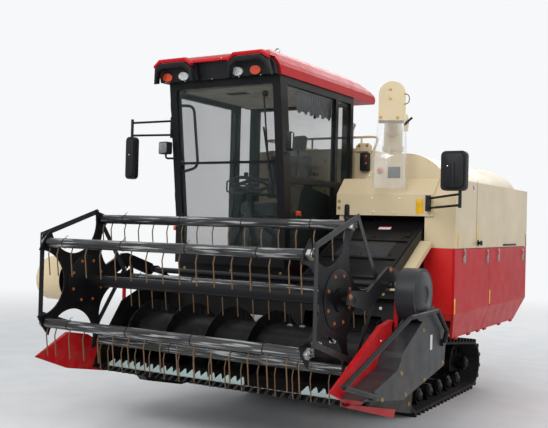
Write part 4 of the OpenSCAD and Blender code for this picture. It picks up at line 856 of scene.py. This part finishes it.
def tank_fittings():
    line = bent([(-1.04, 1.7, RAIL_Z), (-1.04, 0.46, RAIL_Z), (0.165, 0.46, RAIL_Z), (0.165, 0.46, 2.3),
                 (0.11, 0.445, 2.18)], 0.06)
    feet = ((-1.04, 1.69), (-1.04, 1.1), (-1.02, 0.465), (-0.51, 0.46), (0.006, 0.46))
    posts = [pipe([(*foot, 2.23), (*foot, RAIL_Z)], 0.009) for foot in feet]
    piece("tank_rail", PAINT_CREAM, pipe(line, 0.011), *posts)
    hump = cut_plate([(-0.075, -0.045), (0.075, -0.045), (0.075, 0.005), (0.045, 0.032), (-0.045, 0.032),
                      (-0.075, 0.005)], 0.03, 0.004)
    heads = spots(FRONT, TANK_Y, *product((-1.05, -0.7, -0.35), (1.52, 1.85, 2.14)))
    heads += spots(FRONT, TANK_Y - 0.028, (0.01, 2.268), (0.09, 2.268))
    heads += spots(RIGHT, TANK_X, *product((0.52, 0.94, 1.36, 1.68), (1.46, 2.12)))
    heads += spots(REAR, 1.76, *product((-1.05, -0.62, -0.19, 0.08), (1.5, 2.12)))
    cap = turned((0, 0), (0.01, 0), (0.009, 0.006), (0, 0.008), sides=16)
    lid = joined(plate(1.05, 0.6, 0.018, 0.03, 0.006),
                 (plate(0.02, 0.56, 0.012, 0.004, 0.004), [moved(x, 0, 0.018) for x in (-0.35, 0, 0.35)]))
    fit("chassis",
        ("tank_hump", PAINT_CREAM, hump, spots(FRONT, TANK_Y + 0.002, (0.05, 2.262))),
        ("tank_bolts", ZINC, bolt(0.0075), heads),
        ("tank_switch_box", PLASTIC, plate(0.085, 0.165, 0.045, 0.01, 0.004), spots(FRONT, TANK_Y, (0.07, 2.122))),
        ("tank_switch_caps", LENS_AMBER, cap, spots(FRONT, TANK_Y - 0.045, (0.09, 2.172), (0.09, 2.106))),
        ("tank_window", MIRROR, plate(0.22, 0.11, 0.006, 0.02, 0.002), spots(RIGHT, TANK_X, (0.76, 1.93))),
        ("tank_lids", PAINT_CREAM, lid, [moved(-0.51, 0.79, 2.24), moved(-0.51, 1.43, 2.24)]))


def engine_and_step_fittings():
    nub = turned((0, 0), (0.008, 0), (0.006, 0.004), (0, 0.004), sides=8)
    tread = joined((nub, [moved(x, y) for x, y in product(row(-1.305, 0.03, 6), row(-0.62, 0.034, 11))]))
    cap = turned((0, 0), (0.052, 0), (0.052, 0.012), (0.044, 0.03), (0.02, 0.034), (0, 0.034))
    straps = ((-0.9, 0.945), (-0.45, 0.945))
    grille = joined((plate(0.62, 0.02, 0.008, 0.0, 0.003), [moved(0, 0.265), moved(0, -0.265)]),
                    (plate(0.02, 0.55, 0.008, 0.0, 0.003), [moved(0.3, 0), moved(-0.3, 0)]),
                    (plate(0.59, 0.006, 0.004, 0.0, 0.0), [moved(0, y) for y in row(-0.245, 0.035, 15)]))
    line = bent([(-0.16, 0.3, 1.15), (-0.16, 0.395, 1.2), (-0.075, 0.395, 1.22), (-0.075, 0.395, 2.42),
                 (-0.075, 0.44, 2.47)], 0.05)
    heads = spots(FRONT, -0.76, *product((-1.06, -0.58, -0.1), (0.8, 1.14)))
    fit("chassis",
        ("fuel_cap", PLASTIC, cap, [moved(-1.0, 0.8, 1.13)]),
        ("fuel_straps", PAINT_CHARCOAL, plate(0.04, 0.372, 0.003, 0.0),
         spots(FRONT, 0.72, *straps) + spots(REAR, 1.09, *straps)),
        ("engine_top_grille", PAINT_BLACK, grille, [moved(-0.58, 0.04, 1.19)]),
        ("engine_cover_latches", CHROME, latch(), spots(RIGHT, -1.12, (-0.62, 1.14), (0.24, 1.14))),
        ("engine_cover_bolts", ZINC, bolt(0.0075), heads),
        ("exhaust_pipe", STEEL, pipe(line, 0.028, 16), [STILL]),
        ("tread_grip", PAINT_CHARCOAL, tread, [moved(0, 0, z) for z in (0.455, 0.715, 0.975)]))


# Running gear

ROLLERS = [(y, 0.12) for y in row(-0.08, 0.24, 6)] + [(1.36, 0.24)]
ROLLER_FACE, HUB = 0.735, (-0.25, 0.41)
CAP_TURNS = (0.5, 1.757, 3.014, 4.27, 5.527)


def wheel_caps():
    cap = joined(
        turned((0, 0), (0.048, 0), (0.048, 0.01), (0.034, 0.022), (0, 0.026)),
        (bolt(0.006), [moved(0.036 * math.cos(a), 0.036 * math.sin(a), 0.009) for a in CAP_TURNS]),
        (turned((0, 0), (0.006, 0), (0.005, 0.01), (0, 0.01), sides=10), [moved(0, 0, 0.025)]))
    piece("roller_caps", PAINT_BLACK, (cap, both(ROLLER_FACE, *ROLLERS)))
    drive = joined(
        turned((0, 0), (0.1, 0), (0.1, 0.016), (0.07, 0.026), (0.06, 0.05), (0, 0.056), sides=32),
        (bolt(0.01), [moved(x, y, 0.018) for x, y in circle(0.084, 8)]))
    piece("drive_hub_bolts", PAINT_CHARCOAL, (drive, both(ROLLER_FACE, HUB)))


# Feeder and header fittings; those lifted are set out unraised

FEEDER_OUT = Vector((0.0, -0.439, 0.802)).normalized()
FEEDER_X = 0.545


def on_feeder(*others):
    """Places on the feeder's sloping top; others are X and the share of the way up"""
    return [facing((x, -0.973 + 0.802 * share, 1.137 + 0.439 * share), FEEDER_OUT) for x, share in others]


def feeder_fittings():
    piece("feeder_ribs", PAINT_BLACK,
          (plate(0.64, 0.03, 0.012, 0.0, 0.004), on_feeder(*((FEEDER_X, s) for s in (0.06, 0.36, 0.66)))),
          (plate(0.022, 0.84, 0.01, 0.0, 0.003), on_feeder((0.222, 0.48), (0.868, 0.48))), body="header")
    panel, = on_feeder((FEEDER_X, 0.51))
    trimmed = joined(plate(0.44, 0.225, 0.003, 0.01),
                     (plate(0.44, 0.003, 0.005, 0.0, 0.0), [moved(0, 0.112), moved(0, -0.112)]))
    fit("header",
        ("feeder_bolts", PAINT_BLACK, bolt(0.0065), on_feeder(*product((0.3, FEEDER_X, 0.79), (0.12, 0.42, 0.72)))),
        ("feeder_panel", PAINT_CHARCOAL, trimmed, [panel]),
        ("feeder_label", LABEL_WHITE, label(0.105, 0.046), on_feeder((0.577, 0.885))),
        ("feeder_label_band", PAINT_RED, label(0.105, 0.014, thick=0.0016), on_feeder((0.577, 0.905))),
        ("feeder_clip", PLASTIC, plate(0.04, 0.026, 0.012, 0.006, 0.003), on_feeder((0.819, 0.752))))


WALL_Y, CASE_X = -0.825, 1.33
CASE_BOLTS = ((-1.03, 0.74), (-0.83, 0.655), (-0.785, 0.56), (-0.785, 0.43), (-1.1, 0.29), (-1.4, 0.178),
              (-1.75, 0.13), (-1.5, 0.3), (-1.2, 0.6))


def lifted(out, depth, *others):
    return spots(out, depth, *others, on=ON_HEADER)


def header_fittings():
    across = row(-1.06, 0.212, 11)
    wall = lifted(FRONT, WALL_Y, *((x, 0.76) for x in across), *((x, 0.2) for x in across[:6] + across[10:]))
    ends = both(1.15, (-1.42, 0.3), (-1.3, 0.56), (-0.9, 0.82), (-0.87, 0.46), (-0.87, 0.12), on=ON_HEADER)
    beam = lifted(FRONT, WALL_Y - 0.1, *((x, 0.85) for x in row(-1.1, 0.2, 12)))
    lip = lifted(UP, 0.078, *((x, -1.395) for x in row(-1.05, 0.21, 11)))
    mark = facing((CASE_X, -1.04, 0.54), LEFT, HEADER_TILT, ON_HEADER)
    dish = turned((0, 0), (0.15, 0), (0.14, 0.008), (0.06, 0.014), (0.05, 0.006), (0, 0.006), sides=40)
    marks = lifted(LEFT, 1.184, (-1.9, 0.13), (-1.7, 0.3), (-1.52, 0.48), (-1.46, 0.2))
    fit("header",
        ("wall_bolts", CHROME, bolt(0.007), wall),
        ("header_end_bolts", ZINC, bolt(0.008), ends),
        ("beam_bolts", ZINC, bolt(0.006), beam),
        ("trough_plate", PALE_STEEL, plate(0.3, 0.14, 0.004, 0.006), lifted(FRONT, WALL_Y, (-0.21, 0.56))),
        ("lip_bolts", CHROME, screw(0.0075), lip),
        ("divider_bolts", CHROME, bolt(0.0065), marks),
        ("case_bolts", ZINC, bolt(0.0075), lifted(LEFT, CASE_X, *CASE_BOLTS)),
        ("case_label", LABEL_WHITE, label(0.038, 0.1, 0.004), [mark]),
        ("case_dish", PAINT_CHARCOAL, dish, lifted(LEFT, CASE_X, (-1.27, 0.82))))


# Reel and auger fittings

STAR_X, STAR_BACK_X = 1.032, 1.022


def reel_fittings():
    block = joined(
        plate(0.062, 0.046, 0.026, 0.01, 0.004),
        turned((0.012, 0.026), (0.02, 0.026), (0.019, 0.032), (0.013, 0.032), (0.012, 0.026), sides=20))
    blocks = [facing((side * STAR_X, y, z), LEFT * side, math.atan2(z - REEL_Z, (y - REEL_Y) * side))
              for y, z in BAT_REST for side in (1, -1)]
    nuts = [at @ moved(0, y, 0.026) for at in blocks for y in (0.0165, -0.0165)]
    flange = turned((0, 0), (0.185, 0), (0.185, 0.004), (0.168, 0.008), (0.11, 0.008), (0.09, 0.012), (0, 0.012),
                    sides=40)
    hub, holes = (REEL_Y, REEL_Z), [(REEL_Y + y, REEL_Z + z) for y, z in circle(0.15, 8, 0.5)]
    fit("reel",
        ("bat_bearings", PALE_STEEL, block, blocks),
        ("bat_bearing_nuts", ZINC, bolt(0.0055), nuts),
        ("star_flanges", PAINT_BLACK, flange, both(STAR_X, hub) + both(STAR_BACK_X, hub, out=RIGHT)),
        ("star_bolts", ORANGE_BOLT, bolt(0.007), both(STAR_X + 0.007, *holes)),
        ("star_bolts_inside", ORANGE_BOLT, bolt(0.007), both(STAR_BACK_X - 0.007, *holes, out=RIGHT)))


def bat_ties():
    """Black ties round the wrap on each bat"""
    for number, (y, z) in enumerate(BAT_REST, 1):
        shift = 0.06 * (number % 3 - 1)
        places = [facing((x + shift, y, z), LEFT) for x in (-0.86, -0.34, 0.18, 0.7)]
        band = turned((0.0325, -0.004), (0.0355, -0.003), (0.0355, 0.003), (0.0325, 0.004), (0.0325, -0.004))
        tail = pipe(bent([(0, 0.034, 0), (0.006, 0.046, 0), (0.022, 0.052, 0.004)], 0.01), 0.002, 6)
        piece("bat_%d_ties" % number, PLASTIC, (band, places), (tail, places), body="bat_" + "abcde"[number - 1])


FINGER_ROWS = ((0.3, 20), (0.4, 200), (0.5, 320), (0.6, 80), (0.7, 250), (0.8, 150))
DRUM_Y, DRUM_Z, DRUM_R = -1.085, 0.41, 0.15


def auger_fittings():
    guide = joined(
        plate(0.05, 0.026, 0.006, 0.01, 0.002),
        turned((0.011, 0.006), (0.017, 0.006), (0.015, 0.014), (0.011, 0.014), (0.011, 0.006), sides=16),
        (screw(0.003), [moved(-0.019, 0, 0.006), moved(0.019, 0, 0.006)]))
    places = []
    for x, angle in FINGER_ROWS:
        for a in (math.radians(angle), math.radians(angle + 180)):
            out = Vector((0, -math.sin(a), math.cos(a)))
            places.append(facing(Vector((x, DRUM_Y, DRUM_Z)) + out * (DRUM_R - 0.002), out, 0.0, ON_HEADER))
    piece("finger_guides", PALE_STEEL, (guide, places), body="auger")


def reel_arm_fittings():
    pins = both(1.14, (-1.94, 0.69), (-1.4, 0.95), (-1.09, 0.905), on=ON_HEADER)
    piece("arm_bolts", ORANGE_BOLT, (bolt(0.01), pins), body="arms")


for group in (body_fittings, rear_fittings, unload_fittings, spout_film, spout_cable, wiper, cab_lamps,
              cab_outside, visor_brows, mirror_faces, cab_inside, seat_pads, sun_curtain, tank_fittings,
              engine_and_step_fittings, wheel_caps, feeder_fittings, header_fittings, reel_fittings, bat_ties,
              auger_fittings, reel_arm_fittings):
    group()


# Floor, light and camera

BACKDROP = (0.93, 0.94, 0.95)
FADE_FROM, FADE_TO = 4.0, 13.0
FLOOR_HALF = 60.0


def pale_floor():
    """Floor that turns into the backdrop away from the machine, as the camera sees it"""
    look = Finish("pale_floor")
    look.set(Base_Color=look.ramp(look.noise(3.0), 0.3, 0.74, 0.7, 0.8), Roughness=0.9)
    far = look.add("VectorMath", {0: look.spot()}, operation="LENGTH")["Value"]
    share = look.add("MapRange", {"Value": far, "From Min": FADE_FROM, "From Max": FADE_TO},
                     interpolation_type="SMOOTHSTEP")["Result"]
    seen = look.maths("MULTIPLY", share, look.add("LightPath", {})["Is Camera Ray"])
    glow = look.add("Emission", {"Color": BACKDROP})["Emission"]
    floor = look.add("MixShader", {"Fac": seen, 1: look.shader.outputs["BSDF"], 2: glow})["Shader"]
    look.put(look.end, "Surface", floor)
    formed("floor", look, grid(1, size=FLOOR_HALF))


def pale_sky():
    """Soft light all round; what the camera, mirrors and glass see of it is the backdrop"""
    world = bpy.data.worlds.new("studio")
    bpy.context.scene.world = world
    world.use_nodes = True
    sky = Tree(world.node_tree, "World")
    light = sky.add("Background", {"Color": (0.9, 0.95, 1.0), "Strength": 0.55})["Background"]
    seen = sky.add("Background", {"Color": BACKDROP, "Strength": 1.0})["Background"]
    path = sky.add("LightPath", {})
    either = sky.maths("MAXIMUM", path["Is Camera Ray"], path["Is Glossy Ray"])
    share = sky.maths("MAXIMUM", either, path["Is Transmission Ray"])
    sky.put(sky.end, "Surface", sky.add("MixShader", {"Fac": share, 1: light, 2: seen})["Shader"])


def area_lamp(name, place, aim, size, power):
    lamp = bpy.data.lights.new(name, "AREA")
    lamp.shape = "RECTANGLE"
    lamp.size, lamp.size_y = size
    lamp.energy = power
    turn = (Vector(aim) - Vector(place)).to_track_quat("-Z", "Y").to_matrix().to_4x4()
    placed(name, lamp).matrix_world = Matrix.Translation(place) @ turn


def photo_camera():
    """The photograph's view: place in metres, turn, pitch and roll in radians, focal length in picture widths"""
    place, turn, pitch, roll, widths = (3.249, -6.357, 1.539), 0.5488, 0.0117, 0.0253, 816.0 / 548.0
    cam = bpy.data.cameras.new("camera")
    cam.sensor_width = 36.0
    cam.lens = cam.sensor_width * widths
    obj = placed("camera", cam)
    raised = Matrix.Rotation(math.pi / 2 + pitch, 4, "X") @ Matrix.Rotation(roll, 4, "Z")
    obj.matrix_world = Matrix.Translation(place) @ Matrix.Rotation(turn, 4, "Z") @ raised
    bpy.context.scene.camera = obj


pale_floor()
pale_sky()
area_lamp("key", (0.5, -8.0, 6.5), (0.0, 0.0, 1.2), (6.0, 5.0), 430.0)
area_lamp("fill", (7.0, -2.0, 5.0), (0.0, 0.0, 1.2), (6.0, 4.0), 130.0)
area_lamp("back", (-1.0, 7.5, 6.0), (0.0, 0.5, 1.2), (7.0, 4.0), 220.0)
photo_camera()
bpy.context.scene.view_settings.view_transform = "Standard"
